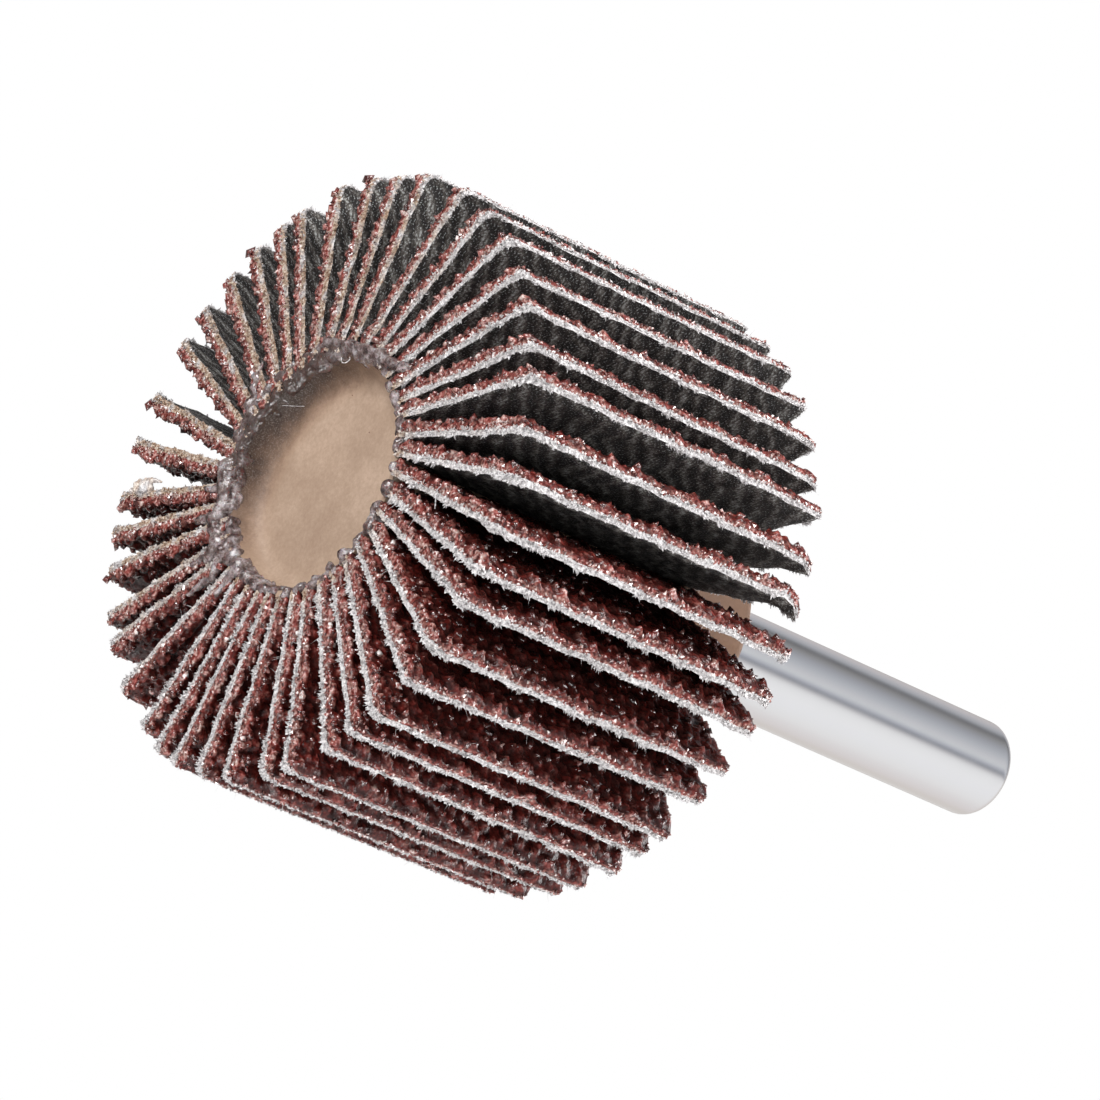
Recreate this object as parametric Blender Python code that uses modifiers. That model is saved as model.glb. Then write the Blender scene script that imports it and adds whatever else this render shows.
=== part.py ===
"""Flap wheel on a round steel shank: 42 abrasive cloth flaps set edge-on round a cast resin core.

The wheel stands on the front edges of its flaps. The origin is on the axis in the plane of those
edges, and +Z runs along the axis to the free end of the shank. Every length is in metres.
"""

import math
import random

import bmesh
import bpy

MM = 0.001

# Shank: a plain steel rod, the far end broken with a radius, the buried end with a chamfer
SHANK_DIAMETER = 6.35 * MM
SHANK_STICKOUT = 27.7 * MM
SHANK_GRIP_DEPTH = 24.0 * MM
SHANK_END_RADIUS = 1.0 * MM
SHANK_BURIED_CHAMFER = 0.4 * MM

# Core: resin cast round the shank, with a collar that stands out behind the flaps
CORE_WALL = 3.8 * MM
CORE_RECESS = 1.9 * MM
CORE_FRONT_RADIUS = 0.3 * MM
COLLAR_LENGTH = 6.3 * MM
COLLAR_EDGE_RADIUS = 0.6 * MM

# Flaps: rectangles of coated cloth, glued on edge round the core and trimmed to one circle
WHEEL_DIAMETER = 38.1 * MM
FLAP_WIDTH = 23.5 * MM
FLAP_THICKNESS = 0.9 * MM
FLAP_GAP_AT_ROOT = 0.23 * MM
GLUE_LINE = 0.4 * MM
TRIM_SPREAD = 0.25 * MM
FLAP_BOW = 0.2 * MM
FLAP_TWIST = 0.25 * MM
CORNER_CURL = 0.35 * MM

# Glue bead: the fillet that lines the recess, between the core's face and the flap roots
BEAD_LEG_ON_FACE = 1.0 * MM
BEAD_LEG_UP_ROOTS = 1.3 * MM
BEAD_LIP = 0.15 * MM

# Air left between neighbours that touch on the real wheel
FIT = 0.2 * MM

# How far each tip is swept forward of its even place, in degrees, judged by eye round the wheel
TIP_SWEEP_DEG = (
    6.5, 7, 8, 8.5, 8, 7.5, 5.5, 7, 6.5, 7.5, 7, 4.5, 6, 4.5, 5, 2.5, 0.5, 2, 0.5, 2, 1.5,
    1.5, -0.5, -2, 2.5, 4.5, 2, 4, 3, 1.5, 3.5, 4, 7, 6, 6, 5.5, 4, 1.5, 3.5, 4, 3, 2.5,
)
ROOT_PHASE_DEG = -3.0
# The roots are laid a little late on one side of the core and a little early on the other
ROOT_DRIFT_DEG = 2.0
ROOT_DRIFT_TOWARDS_DEG = 215

ROUND_STEPS = 48
FILLET_STEPS = 5
FLAP_STEPS_OUT = 6
FLAP_STEPS_ALONG = 4
MERGE_DISTANCE = 0.00001

# Sizes that follow from the ones above
SHANK_RADIUS = SHANK_DIAMETER / 2
BORE_RADIUS = SHANK_RADIUS + FIT
CORE_RADIUS = BORE_RADIUS + CORE_WALL
COLLAR_BACK = FLAP_WIDTH + COLLAR_LENGTH
SHANK_TOP = COLLAR_BACK + SHANK_STICKOUT
SHANK_BOTTOM = COLLAR_BACK - SHANK_GRIP_DEPTH
ROOT_RADIUS = CORE_RADIUS + GLUE_LINE
TIP_RADIUS = WHEEL_DIAMETER / 2
FLAP_COUNT = int(math.tau * ROOT_RADIUS / (FLAP_THICKNESS + FLAP_GAP_AT_ROOT))
FLAP_PITCH = math.tau / FLAP_COUNT

STEEL = dict(color=(0.62, 0.63, 0.65), metallic=1.0, roughness=0.28)
RESIN = dict(color=(0.58, 0.39, 0.25), metallic=0.0, roughness=0.62)
GLUE = dict(color=(0.33, 0.29, 0.29), metallic=0.0, roughness=0.25)
ABRASIVE = dict(color=(0.12, 0.035, 0.025), metallic=0.0, roughness=0.7)


def clear_scene():
    for thing in list(bpy.data.objects):
        bpy.data.objects.remove(thing)


def make_material(name, color, metallic, roughness):
    material = bpy.data.materials.new(name)
    material.use_nodes = True
    shader = material.node_tree.nodes["Principled BSDF"]
    shader.inputs["Base Color"].default_value = (*color, 1.0)
    shader.inputs["Metallic"].default_value = metallic
    shader.inputs["Roughness"].default_value = roughness
    return material


def add_object(name, mesh, material, collection, parent):
    mesh.materials.append(material)
    thing = bpy.data.objects.new(name, mesh)
    collection.objects.link(thing)
    thing.parent = parent
    return thing


def corner_arc(center_x, center_z, radius, start_deg, end_deg):
    """Points of a rounded corner in the XZ plane, from one angle to the other."""
    points = []
    for step in range(FILLET_STEPS + 1):
        angle = math.radians(start_deg + (end_deg - start_deg) * step / FILLET_STEPS)
        points.append((center_x + radius * math.cos(angle), center_z + radius * math.sin(angle)))
    return points


def turned(name, profile, material, collection, parent, closed=False):
    """A profile in the XZ plane, its outer side running downwards, spun once round the axis."""
    mesh = bpy.data.meshes.new(name)
    shape = bmesh.new()
    verts = [shape.verts.new((x, 0.0, z)) for x, z in profile]
    for start, end in zip(verts, verts[1:]):
        shape.edges.new((start, end))
    if closed:
        shape.edges.new((verts[-1], verts[0]))
    shape.to_mesh(mesh)
    shape.free()
    thing = add_object(name, mesh, material, collection, parent)
    screw = thing.modifiers.new("Turn", "SCREW")
    screw.steps = ROUND_STEPS
    screw.render_steps = ROUND_STEPS
    screw.use_merge_vertices = True
    screw.merge_threshold = MERGE_DISTANCE
    screw.use_smooth_shade = True
    return thing


def shank_profile():
    rounded_end = corner_arc(
        SHANK_RADIUS - SHANK_END_RADIUS, SHANK_TOP - SHANK_END_RADIUS, SHANK_END_RADIUS, 90, 0
    )
    return [
        (0.0, SHANK_TOP),
        *rounded_end,
        (SHANK_RADIUS, SHANK_BOTTOM + SHANK_BURIED_CHAMFER),
        (SHANK_RADIUS - SHANK_BURIED_CHAMFER, SHANK_BOTTOM),
        (0.0, SHANK_BOTTOM),
    ]


def core_profile():
    """A blind bore up the middle, then over the collar and down the outside to the front face."""
    collar_edge = corner_arc(
        CORE_RADIUS - COLLAR_EDGE_RADIUS, COLLAR_BACK - COLLAR_EDGE_RADIUS, COLLAR_EDGE_RADIUS, 90, 0
    )
    front_edge = corner_arc(
        CORE_RADIUS - CORE_FRONT_RADIUS, CORE_RECESS + CORE_FRONT_RADIUS, CORE_FRONT_RADIUS, 0, -90
    )
    return [
        (0.0, SHANK_BOTTOM - FIT),
        (BORE_RADIUS, SHANK_BOTTOM - FIT),
        (BORE_RADIUS, COLLAR_BACK),
        *collar_edge,
        *front_edge,
        (0.0, CORE_RECESS),
    ]


def bead_profile():
    """A hollow fillet: one leg on the core's face, the other up the flap roots."""
    wall = CORE_RADIUS
    back = CORE_RECESS - FIT
    front = back - BEAD_LEG_UP_ROOTS
    inner = wall - BEAD_LEG_ON_FACE
    hollow = []
    for step in range(FILLET_STEPS + 1):
        angle = math.radians(90 * step / FILLET_STEPS)
        across = (wall - BEAD_LIP - inner) * (1 - math.cos(angle))
        down = (back - BEAD_LIP - front) * (1 - math.sin(angle))
        hollow.append((wall - BEAD_LIP - across, front + down))
    return [(wall, back), (wall, front), *reversed(hollow), (inner, back)]


def flap_mesh(name, length, bow, twist, curl):
    """One flap lying along +X from its root, FLAP_WIDTH wide along +Z, bent towards +Y.

    It bows between root and tip, twists more the further out it is, and its rear corner curls.
    """
    mesh = bpy.data.meshes.new(name)
    sheet = bmesh.new()
    half = 0.5
    bmesh.ops.create_grid(sheet, x_segments=FLAP_STEPS_OUT, y_segments=FLAP_STEPS_ALONG, size=half)
    for vert in sheet.verts:
        outward = vert.co.x + half
        along = vert.co.y + half
        bend = bow * outward * (outward - 1) + twist * outward**2 * (along - half)
        bend += curl * outward**4 * along**6
        vert.co = (outward * length, bend, along * FLAP_WIDTH)
    sheet.to_mesh(mesh)
    sheet.free()
    return mesh


def flap_ends(index):
    """Root and tip angle of a flap, in radians round the axis."""
    even_place = index * FLAP_PITCH
    drift = math.cos(even_place - math.radians(ROOT_DRIFT_TOWARDS_DEG))
    root = even_place + math.radians(ROOT_PHASE_DEG + ROOT_DRIFT_DEG * drift)
    tip = even_place + math.radians(TIP_SWEEP_DEG[index % len(TIP_SWEEP_DEG)])
    return root, tip


def add_flap(index, uneven, material, collection, parent):
    root_angle, tip_angle = flap_ends(index)
    tip_radius = TIP_RADIUS - TRIM_SPREAD * uneven.random()
    root_x = ROOT_RADIUS * math.cos(root_angle)
    root_y = ROOT_RADIUS * math.sin(root_angle)
    reach_x = tip_radius * math.cos(tip_angle) - root_x
    reach_y = tip_radius * math.sin(tip_angle) - root_y
    bow = FLAP_BOW * uneven.uniform(-1, 1)
    twist = FLAP_TWIST * uneven.uniform(-1, 1)
    curl = CORNER_CURL * uneven.uniform(-1, 1)
    name = f"flap_{index + 1:02d}"
    mesh = flap_mesh(name, math.hypot(reach_x, reach_y), bow, twist, curl)
    flap = add_object(name, mesh, material, collection, parent)
    flap.location = (root_x, root_y, 0.0)
    flap.rotation_euler.z = math.atan2(reach_y, reach_x)
    cloth = flap.modifiers.new("Coated cloth", "SOLIDIFY")
    cloth.thickness = FLAP_THICKNESS
    cloth.offset = 0.0
    return flap


def build():
    clear_scene()
    collection = bpy.data.collections.new("flap_wheel")
    bpy.context.scene.collection.children.link(collection)
    axis = bpy.data.objects.new("wheel_axis", None)
    collection.objects.link(axis)

    steel = make_material("ground_steel", **STEEL)
    resin = make_material("cast_resin", **RESIN)
    glue = make_material("glue", **GLUE)
    abrasive = make_material("abrasive_cloth", **ABRASIVE)

    turned("shank", shank_profile(), steel, collection, axis)
    turned("core", core_profile(), resin, collection, axis)
    turned("glue_bead", bead_profile(), glue, collection, axis, closed=True)
    uneven = random.Random(7)
    for index in range(FLAP_COUNT):
        add_flap(index, uneven, abrasive, collection, axis)


build()
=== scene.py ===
# %% [markdown]
# A flap wheel for sanding. Rectangles of coated abrasive cloth stand on edge round a resin core,
# and a ground steel shank comes out of its back.
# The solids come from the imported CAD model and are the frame. This lesson gives each of them the
# surface of the real thing: grit and fluff on the flaps, glue in the recess, grinding marks on the
# steel. The wheel stands on the front edges of its flaps, with its axis along Z.

# %% Load the frame
import math

import bpy
import numpy as np
from mathutils import Matrix, Vector


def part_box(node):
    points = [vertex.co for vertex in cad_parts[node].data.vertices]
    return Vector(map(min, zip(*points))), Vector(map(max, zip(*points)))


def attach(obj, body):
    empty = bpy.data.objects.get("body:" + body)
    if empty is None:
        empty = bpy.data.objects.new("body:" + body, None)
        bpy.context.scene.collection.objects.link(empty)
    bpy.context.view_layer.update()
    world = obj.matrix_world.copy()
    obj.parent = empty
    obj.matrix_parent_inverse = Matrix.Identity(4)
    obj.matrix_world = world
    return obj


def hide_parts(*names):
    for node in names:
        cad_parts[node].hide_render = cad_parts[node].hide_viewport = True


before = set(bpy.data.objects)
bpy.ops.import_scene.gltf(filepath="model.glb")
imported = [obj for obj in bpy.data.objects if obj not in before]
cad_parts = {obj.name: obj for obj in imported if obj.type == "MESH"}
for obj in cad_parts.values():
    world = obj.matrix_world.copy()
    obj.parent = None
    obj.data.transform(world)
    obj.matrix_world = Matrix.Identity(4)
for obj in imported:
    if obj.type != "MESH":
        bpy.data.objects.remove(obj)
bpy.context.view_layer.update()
bpy.ops.object.select_all(action="DESELECT")
MM = 0.001
print("nodes in the frame:", len(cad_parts))

# %% [markdown]
# The wheel's own sizes are read from the frame, so that every piece below fits the solids.
# The radii come from the boxes of the core and shank, the flap's width from a flap's height.

# %% Sizes from the frame
CORE_LOW, CORE_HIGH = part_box("core")
SHANK_LOW, SHANK_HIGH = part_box("shank")
FLAP_LOW, FLAP_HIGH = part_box("flap_01")
CORE_RADIUS = (CORE_HIGH.x - CORE_LOW.x) / 2
CORE_FACE = CORE_LOW.z
SHANK_RADIUS = (SHANK_HIGH.x - SHANK_LOW.x) / 2
SHANK_TOP = SHANK_HIGH.z
FLAP_WIDTH = FLAP_HIGH.z - FLAP_LOW.z
FLAP_NODES = sorted(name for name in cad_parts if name.startswith("flap_"))
print("core radius", round(CORE_RADIUS / MM, 2), "flap width", round(FLAP_WIDTH / MM, 2), "mm")

# %% [markdown]
# The photograph looks up at the front of the wheel from below the plane it stands on, and the
# camera is rolled over on its side. A long lens far away keeps the perspective flat, as in
# product photographs. The view direction makes 53 degrees with the axis.

# %% Camera
CAMERA_PLACE = Vector((1.6, 299.6, -208.4)) * MM
CAMERA_LENS = 203.0
VIEW_TO_AXIS_DEG = 52.87
CAMERA_ROLL_DEG = 114.25

view_to_axis = math.radians(VIEW_TO_AXIS_DEG)
view_direction = Vector((0, -math.sin(view_to_axis), math.cos(view_to_axis)))
level = view_direction.to_track_quat("-Z", "Y").to_matrix().to_4x4()
roll = Matrix.Rotation(math.radians(CAMERA_ROLL_DEG), 4, "Z")
camera = bpy.data.objects.new("camera", bpy.data.cameras.new("camera"))
bpy.context.scene.collection.objects.link(camera)
camera.matrix_world = Matrix.Translation(CAMERA_PLACE) @ level @ roll
camera.data.lens = CAMERA_LENS
camera.data.clip_start = 0.01
bpy.context.scene.camera = camera
camera_right, camera_up, camera_back = (Vector(axis) for axis in camera.matrix_world.to_3x3().col)
print("camera up:", [round(value, 3) for value in camera_up])

# %% [markdown]
# Colours are written as they look on a screen and turned to linear light by one function. One
# small function adds a shader node with its settings, its inputs and, where the node is a colour
# ramp, its stops.

# %% Colour and node helpers
def linear(hex_colour):
    """An sRGB hex colour as linear red, green, blue and alpha."""
    channels = [int(hex_colour[start:start + 2], 16) / 255 for start in (1, 3, 5)]
    light = [c / 12.92 if c <= 0.04045 else ((c + 0.055) / 1.055) ** 2.4 for c in channels]
    return (*light, 1.0)


def add_node(tree, kind, inputs=None, stops=(), **settings):
    """One node with its settings. An input is a plain value, or a socket to link from.

    The stops of a colour ramp are pairs of a position and a hex colour.
    """
    node = tree.nodes.new(kind)
    for name, value in settings.items():
        setattr(node, name, value)
    for socket, value in (inputs or {}).items():
        if isinstance(value, bpy.types.NodeSocket):
            tree.links.new(value, node.inputs[socket])
        else:
            node.inputs[socket].default_value = value
    if stops:
        elements = node.color_ramp.elements
        elements.remove(elements[1])
        elements[0].position = stops[0][0]
        elements[0].color = linear(stops[0][1])
        for position, colour in stops[1:]:
            elements.new(position).color = linear(colour)
    return node


def new_material(name, **shader_values):
    """A material with a Principled shader, and its uniform values set on the shader's sockets."""
    material = bpy.data.materials.new(name)
    material.use_nodes = True
    shader = material.node_tree.nodes["Principled BSDF"]
    for socket, value in shader_values.items():
        shader.inputs[socket.replace("_", " ")].default_value = value
    return material, material.node_tree, shader


print("helpers ready")

# %% [markdown]
# Light. The photograph has a large soft source above and to the left of the camera, and a pure
# white surround. The world gives a low even level, and its camera rays are white. Polished steel
# shows what stands round it, so glossy rays see a studio of pale panels with darker gaps between
# them, laid out round the axis. Below the wheel the studio is dim, so that wet grit and dark gaps
# keep their depth.

# %% World
AMBIENT_LEVEL = 0.36
DIM_BELOW = 0.3
# Where the pale panels and the gaps stand, as a share of the turn round Z, and how bright they are
STUDIO_PANELS = (
    (0.0, "#E5E2E2"), (0.04, "#EBEAEA"), (0.09, "#EEEEEF"), (0.14, "#F0F0F2"), (0.19, "#F1F1F2"),
    (0.235, "#EDEDEE"), (0.257, "#E3E3E4"), (0.27, "#C9C7C9"), (0.283, "#9C9CA2"), (0.296, "#868A90"),
    (0.312, "#B1B3BE"), (0.335, "#D1D4D6"), (0.36, "#CCCCD0"), (0.41, "#B7BAC0"), (0.46, "#A2A4AB"),
    (0.505, "#8F8F90"), (0.525, "#7E7D7D"), (0.545, "#68686C"), (0.565, "#8A8C90"), (0.585, "#A9ABB1"),
    (0.61, "#B4B4B9"), (0.65, "#C3BFC1"), (0.74, "#C1BBB9"), (0.79, "#E0DDDA"), (0.83, "#D9D4D1"),
    (0.88, "#D6D0CB"), (0.93, "#DED8D7"), (1.0, "#E5E2E2"),
)

world = bpy.data.worlds.new("studio")
bpy.context.scene.world = world
world.use_nodes = True
studio = world.node_tree
studio.nodes.clear()
direction = add_node(studio, "ShaderNodeTexCoord").outputs["Generated"]
parts = add_node(studio, "ShaderNodeSeparateXYZ", {"Vector": direction})
turn = add_node(studio, "ShaderNodeMath", {0: parts.outputs["Y"], 1: parts.outputs["X"]}, operation="ARCTAN2")
share = add_node(studio, "ShaderNodeMapRange", {"Value": turn.outputs["Value"], "From Min": math.pi,
                                                "From Max": -math.pi})
panels = add_node(studio, "ShaderNodeValToRGB", {"Fac": share.outputs["Result"]}, stops=STUDIO_PANELS)
height = add_node(studio, "ShaderNodeMapRange", {"Value": parts.outputs["Z"], "From Min": -0.1,
                                                 "From Max": 0.3, "To Min": DIM_BELOW, "To Max": 1.0})
ray = add_node(studio, "ShaderNodeLightPath")
even = add_node(studio, "ShaderNodeBackground", {"Color": linear("#F6F8FC"), "Strength": AMBIENT_LEVEL})
panel_light = add_node(studio, "ShaderNodeBackground", {
    "Color": panels.outputs["Color"], "Strength": height.outputs["Result"]})
white = add_node(studio, "ShaderNodeBackground", {"Color": linear("#FFFFFF")})
glossy_mix = add_node(studio, "ShaderNodeMixShader", {
    "Fac": ray.outputs["Is Glossy Ray"], 1: even.outputs[0], 2: panel_light.outputs[0]})
seen = add_node(studio, "ShaderNodeMath", {0: ray.outputs["Is Camera Ray"],
                                           1: ray.outputs["Is Transmission Ray"]}, operation="MAXIMUM")
white_mix = add_node(studio, "ShaderNodeMixShader", {
    "Fac": seen.outputs["Value"], 1: glossy_mix.outputs[0], 2: white.outputs[0]})
add_node(studio, "ShaderNodeOutputWorld", {"Surface": white_mix.outputs[0]})
print("world ready")

# %% [markdown]
# The lamps. A soft one stands where the photograph's own does, high and to the left of the camera,
# and a weaker one below lights the lower flaps, as the white tent does there. Three at the right
# reach in between the flaps from the side, the rear and the front. Small ones round the camera add
# little light, but each puts a hard glint on every wet grain. One overhead is for the views that
# look down on the wheel as it stands. Polished steel would show each lamp as a spot, which the
# tent in the photograph hides, so the shank is left out of their light and shows only the panels.

# %% Lamps
steel_only = bpy.data.collections.new("lit_by_the_panels_only")


def add_softbox(name, place, size, energy):
    """A square area lamp that faces the middle of the wheel and leaves out the steel."""
    lamp = bpy.data.objects.new(name, bpy.data.lights.new(name, "AREA"))
    bpy.context.scene.collection.objects.link(lamp)
    lamp.data.size = size
    lamp.data.energy = energy
    target = Vector((0, 0, FLAP_WIDTH / 2))
    facing = (target - place).to_track_quat("-Z", "Y").to_matrix().to_4x4()
    lamp.matrix_world = Matrix.Translation(place) @ facing
    lamp.light_linking.receiver_collection = steel_only


def by_camera(up, right, back):
    """A place given as the camera sees it, in metres from the origin."""
    return camera_up * up + camera_right * right + camera_back * back


# Where each lamp stands as the camera sees it: up, right and back, then its size and its energy
SOFTBOXES = {
    "key": ((0.40, -0.16, 0.26), 0.18, 1.9),
    "fill": ((-0.42, -0.06, 0.20), 0.3, 1.6),
    "side": ((0.38, 0.38, 0.10), 0.2, 2.5),
    "rear": ((-0.12, 0.44, -0.18), 0.2, 0.4),
    "low_right": ((-0.20, 0.30, 0.36), 0.12, 0.45),
}
GLINT_PLACES = (
    (0.30, -0.30, 0.28), (0.34, 0.22, 0.34), (-0.12, -0.36, 0.38), (0.10, 0.02, 0.50), (-0.34, 0.02, 0.34),
)
GLINT_SIZE = 0.06
GLINT_ENERGY = 0.4
for name, (place, size, energy) in SOFTBOXES.items():
    add_softbox(name, by_camera(*place), size, energy)
for number, place in enumerate(GLINT_PLACES):
    add_softbox(f"glint_{number}", by_camera(*place), GLINT_SIZE, GLINT_ENERGY)
add_softbox("overhead", Vector((0.12, 0.16, 0.5)), 0.34, 1.8)
bpy.context.scene.view_settings.view_transform = "Standard"
print("lamps ready")

# %% [markdown]
# The floor. The wheel stands on it, on its fluff and its proudest glue, so it lies a little under
# the front edges of the flaps. The photograph looks up from under that plane, so the floor shows
# only from above: its back lets rays through, and it neither blocks nor returns light.

# %% Floor
FLOOR_DROP = 0.3 * MM
bpy.ops.mesh.primitive_plane_add(size=3.0, location=(0, 0, -FLOOR_DROP))
floor = bpy.context.object
floor.name = "floor"
floor_paint, floor_tree, floor_shader = new_material(
    "floor_paint", Base_Color=linear("#F4F4F2"), Roughness=0.9)
under = add_node(floor_tree, "ShaderNodeNewGeometry").outputs["Backfacing"]
through = add_node(floor_tree, "ShaderNodeBsdfTransparent")
floor_mix = add_node(floor_tree, "ShaderNodeMixShader", {"Fac": under})
floor_tree.links.new(floor_shader.outputs[0], floor_mix.inputs[1])
floor_tree.links.new(through.outputs[0], floor_mix.inputs[2])
floor_tree.links.new(floor_mix.outputs[0], floor_tree.nodes["Material Output"].inputs["Surface"])
floor.data.materials.append(floor_paint)
floor.visible_shadow = False
floor.visible_diffuse = False
floor.visible_glossy = False
floor.visible_transmission = False
bpy.ops.object.select_all(action="DESELECT")
print("floor ready")

# %% [markdown]
# Ground steel for the shank. Centreless grinding leaves fine marks round the rod, so the bump is
# a noise drawn out round the axis and tight along it. The marks on the real rod are about 0.05 mm
# apart, and are drawn 0.12 mm apart so that they just show.

# %% Steel
GRINDING_PITCH = 0.12 * MM
ground_steel, tree, shader = new_material(
    "ground_steel", Base_Color=linear("#F2F2F3"), Metallic=1.0, Roughness=0.2)
place = add_node(tree, "ShaderNodeTexCoord").outputs["Object"]
stretched = add_node(tree, "ShaderNodeMapping", {"Vector": place, "Scale": (0.05, 0.05, 1.0)})
marks = add_node(tree, "ShaderNodeTexNoise", {"Vector": stretched.outputs[0], "Scale": 1 / GRINDING_PITCH,
                                              "Detail": 3.0})
wear = add_node(tree, "ShaderNodeTexNoise", {"Vector": place, "Scale": 1 / (1.6 * MM), "Detail": 4.0})
rough = add_node(tree, "ShaderNodeMapRange", {"Value": wear.outputs["Fac"], "From Min": 0.3, "From Max": 0.7,
                                              "To Min": 0.17, "To Max": 0.21})
tree.links.new(rough.outputs["Result"], shader.inputs["Roughness"])
bump = add_node(tree, "ShaderNodeBump", {
    "Height": marks.outputs["Fac"], "Distance": 0.003 * MM, "Strength": 0.35})
tree.links.new(bump.outputs["Normal"], shader.inputs["Normal"])
print("steel ready")

# %% [markdown]
# Cast resin for the core: a tan filled epoxy, matt, with faint clouds in its colour, fine sandy
# specks of filler and a skin that is a little uneven. Towards the wall of the recess it is darkened
# by painted shade, with some real dust and thin glue, furthest in on the side that lies most in
# shade, so the dark follows the radius with a lean towards that side. The collar behind the flaps
# is darkened brown by painted shade. The core and the glue fillet on it share these colours, so no
# line shows where one ends.

# %% Resin
# The side of the recess most in painted shade, with some dust, and how far that shade leans to it
SHADED_DUSTY_SIDE_DEG = 298
SHADE_AND_DUST_LEAN = 0.35
# Radii over which painted shade, with some dust, darkens the resin towards the recess wall
RECESS_SHADE_AND_DUST = (6.4 * MM, 9.7 * MM)
# Heights over which painted shade darkens the collar behind the flaps brown
COLLAR_SHADE = (20 * MM, 24 * MM)


def resin_tan_and_shade(tree, place):
    """The colour of the resin with its painted shade, the height of its skin, and how far the painted shade
    of the recess has gone.
    """
    clouds = add_node(tree, "ShaderNodeTexNoise", {"Vector": place, "Scale": 1 / (3.5 * MM), "Detail": 3.0})
    specks = add_node(tree, "ShaderNodeTexNoise", {"Vector": place, "Scale": 1 / (0.22 * MM), "Detail": 4.0,
                                                   "Roughness": 0.7})
    tint = add_node(tree, "ShaderNodeMix", {
        "Factor": 0.45, 2: clouds.outputs["Fac"], 3: specks.outputs["Fac"]})
    tan = add_node(tree, "ShaderNodeValToRGB", {"Fac": tint.outputs[0]}, stops=(
        (0.32, "#927966"), (0.5, "#A38B77"), (0.68, "#B69D89")))
    flat_place = add_node(tree, "ShaderNodeVectorMath", {0: place, 1: (1, 1, 0)}, operation="MULTIPLY")
    radius = add_node(tree, "ShaderNodeVectorMath", {0: flat_place.outputs[0]}, operation="LENGTH")
    side = math.radians(SHADED_DUSTY_SIDE_DEG)
    lean = add_node(tree, "ShaderNodeVectorMath", {
        0: place, 1: (SHADE_AND_DUST_LEAN * math.cos(side), SHADE_AND_DUST_LEAN * math.sin(side), 0)}, operation="DOT_PRODUCT")
    blotches = add_node(tree, "ShaderNodeTexNoise", {"Vector": place, "Scale": 1 / (0.8 * MM), "Detail": 6.0,
                                                     "Roughness": 0.7})
    patchy = add_node(tree, "ShaderNodeMath", {0: blotches.outputs["Fac"], 1: 1.6 * MM, 2: -0.8 * MM},
                      operation="MULTIPLY_ADD")
    reach = add_node(tree, "ShaderNodeMath", {0: radius.outputs["Value"], 1: lean.outputs["Value"]})
    reach = add_node(tree, "ShaderNodeMath", {0: reach.outputs["Value"], 1: patchy.outputs["Value"]})
    share = add_node(tree, "ShaderNodeMapRange", {
        "Value": reach.outputs["Value"], "From Min": RECESS_SHADE_AND_DUST[0], "From Max": RECESS_SHADE_AND_DUST[1]})
    # Painted shade of the recess wall, with some dust, multiplied into the colour
    shade = add_node(tree, "ShaderNodeValToRGB", {"Fac": share.outputs["Result"]}, stops=(
        (0.0, "#FFFFFF"), (0.25, "#F4F0ED"), (0.45, "#D2C9C3"), (0.65, "#9E928B"), (0.83, "#695C56"),
        (1.0, "#433730")))
    height = add_node(tree, "ShaderNodeSeparateXYZ", {"Vector": place}).outputs["Z"]
    behind = add_node(tree, "ShaderNodeMapRange", {
        "Value": height, "From Min": COLLAR_SHADE[0], "From Max": COLLAR_SHADE[1]})
    # Painted shade on the collar behind the flaps, brown
    stain = add_node(tree, "ShaderNodeValToRGB", {"Fac": behind.outputs["Result"]}, stops=(
        (0.0, "#FFFFFF"), (1.0, "#9F8876")))
    colour = tan.outputs["Color"]
    for shade_layer in (shade, stain):
        colour = add_node(tree, "ShaderNodeMix", {"Factor": 1.0, 6: colour, 7: shade_layer.outputs["Color"]},
                          data_type="RGBA", blend_type="MULTIPLY").outputs[2]
    return colour, specks.outputs["Fac"], share.outputs["Result"]


cast_resin, tree, shader = new_material("cast_resin", Roughness=0.6, Specular_IOR_Level=0.4)
place = add_node(tree, "ShaderNodeTexCoord").outputs["Object"]
tan, skin, _ = resin_tan_and_shade(tree, place)
tree.links.new(tan, shader.inputs["Base Color"])
bump = add_node(tree, "ShaderNodeBump", {"Height": skin, "Distance": 0.02 * MM, "Strength": 0.5})
tree.links.new(bump.outputs["Normal"], shader.inputs["Normal"])
print("resin ready")

# %% [markdown]
# Glue: an epoxy with a warm grey cast that has run over the roots and set glossy. It is cloudy,
# so a little of the light scatters inside it, and red grit shows in it as flecks. Dust and small
# bubbles break its skin, so a highlight falls apart into points. Towards the recess, on the side
# that lies most in shade, a brown painted shade darkens it.

# %% Glue
# A brown painted shade darkens the glue between these radii, and between these distances towards the shaded
# side
GLUE_SHADE_RADII = (8.7 * MM, 7.9 * MM)
GLUE_SHADE_SIDE = (4.5 * MM, 7 * MM)
epoxy_glue, tree, shader = new_material(
    "epoxy_glue", Roughness=0.08, IOR=1.56, Subsurface_Weight=0.25, Subsurface_Scale=0.4 * MM)
place = add_node(tree, "ShaderNodeTexCoord").outputs["Object"]
clouds = add_node(tree, "ShaderNodeTexNoise", {"Vector": place, "Scale": 1 / (0.6 * MM), "Detail": 6.0,
                                               "Roughness": 0.7})
grey = add_node(tree, "ShaderNodeValToRGB", {"Fac": clouds.outputs["Fac"]}, stops=(
    (0.36, "#302321"), (0.43, "#50413F"), (0.5, "#6E605E"), (0.57, "#918787"), (0.65, "#BCB5B6")))
fleck_noise = add_node(tree, "ShaderNodeTexNoise", {"Vector": place, "Scale": 1 / (0.3 * MM), "Detail": 2.0})
fleck = add_node(tree, "ShaderNodeMapRange", {"Value": fleck_noise.outputs["Fac"], "From Min": 0.6,
                                              "From Max": 0.68, "To Max": 0.8})
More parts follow.
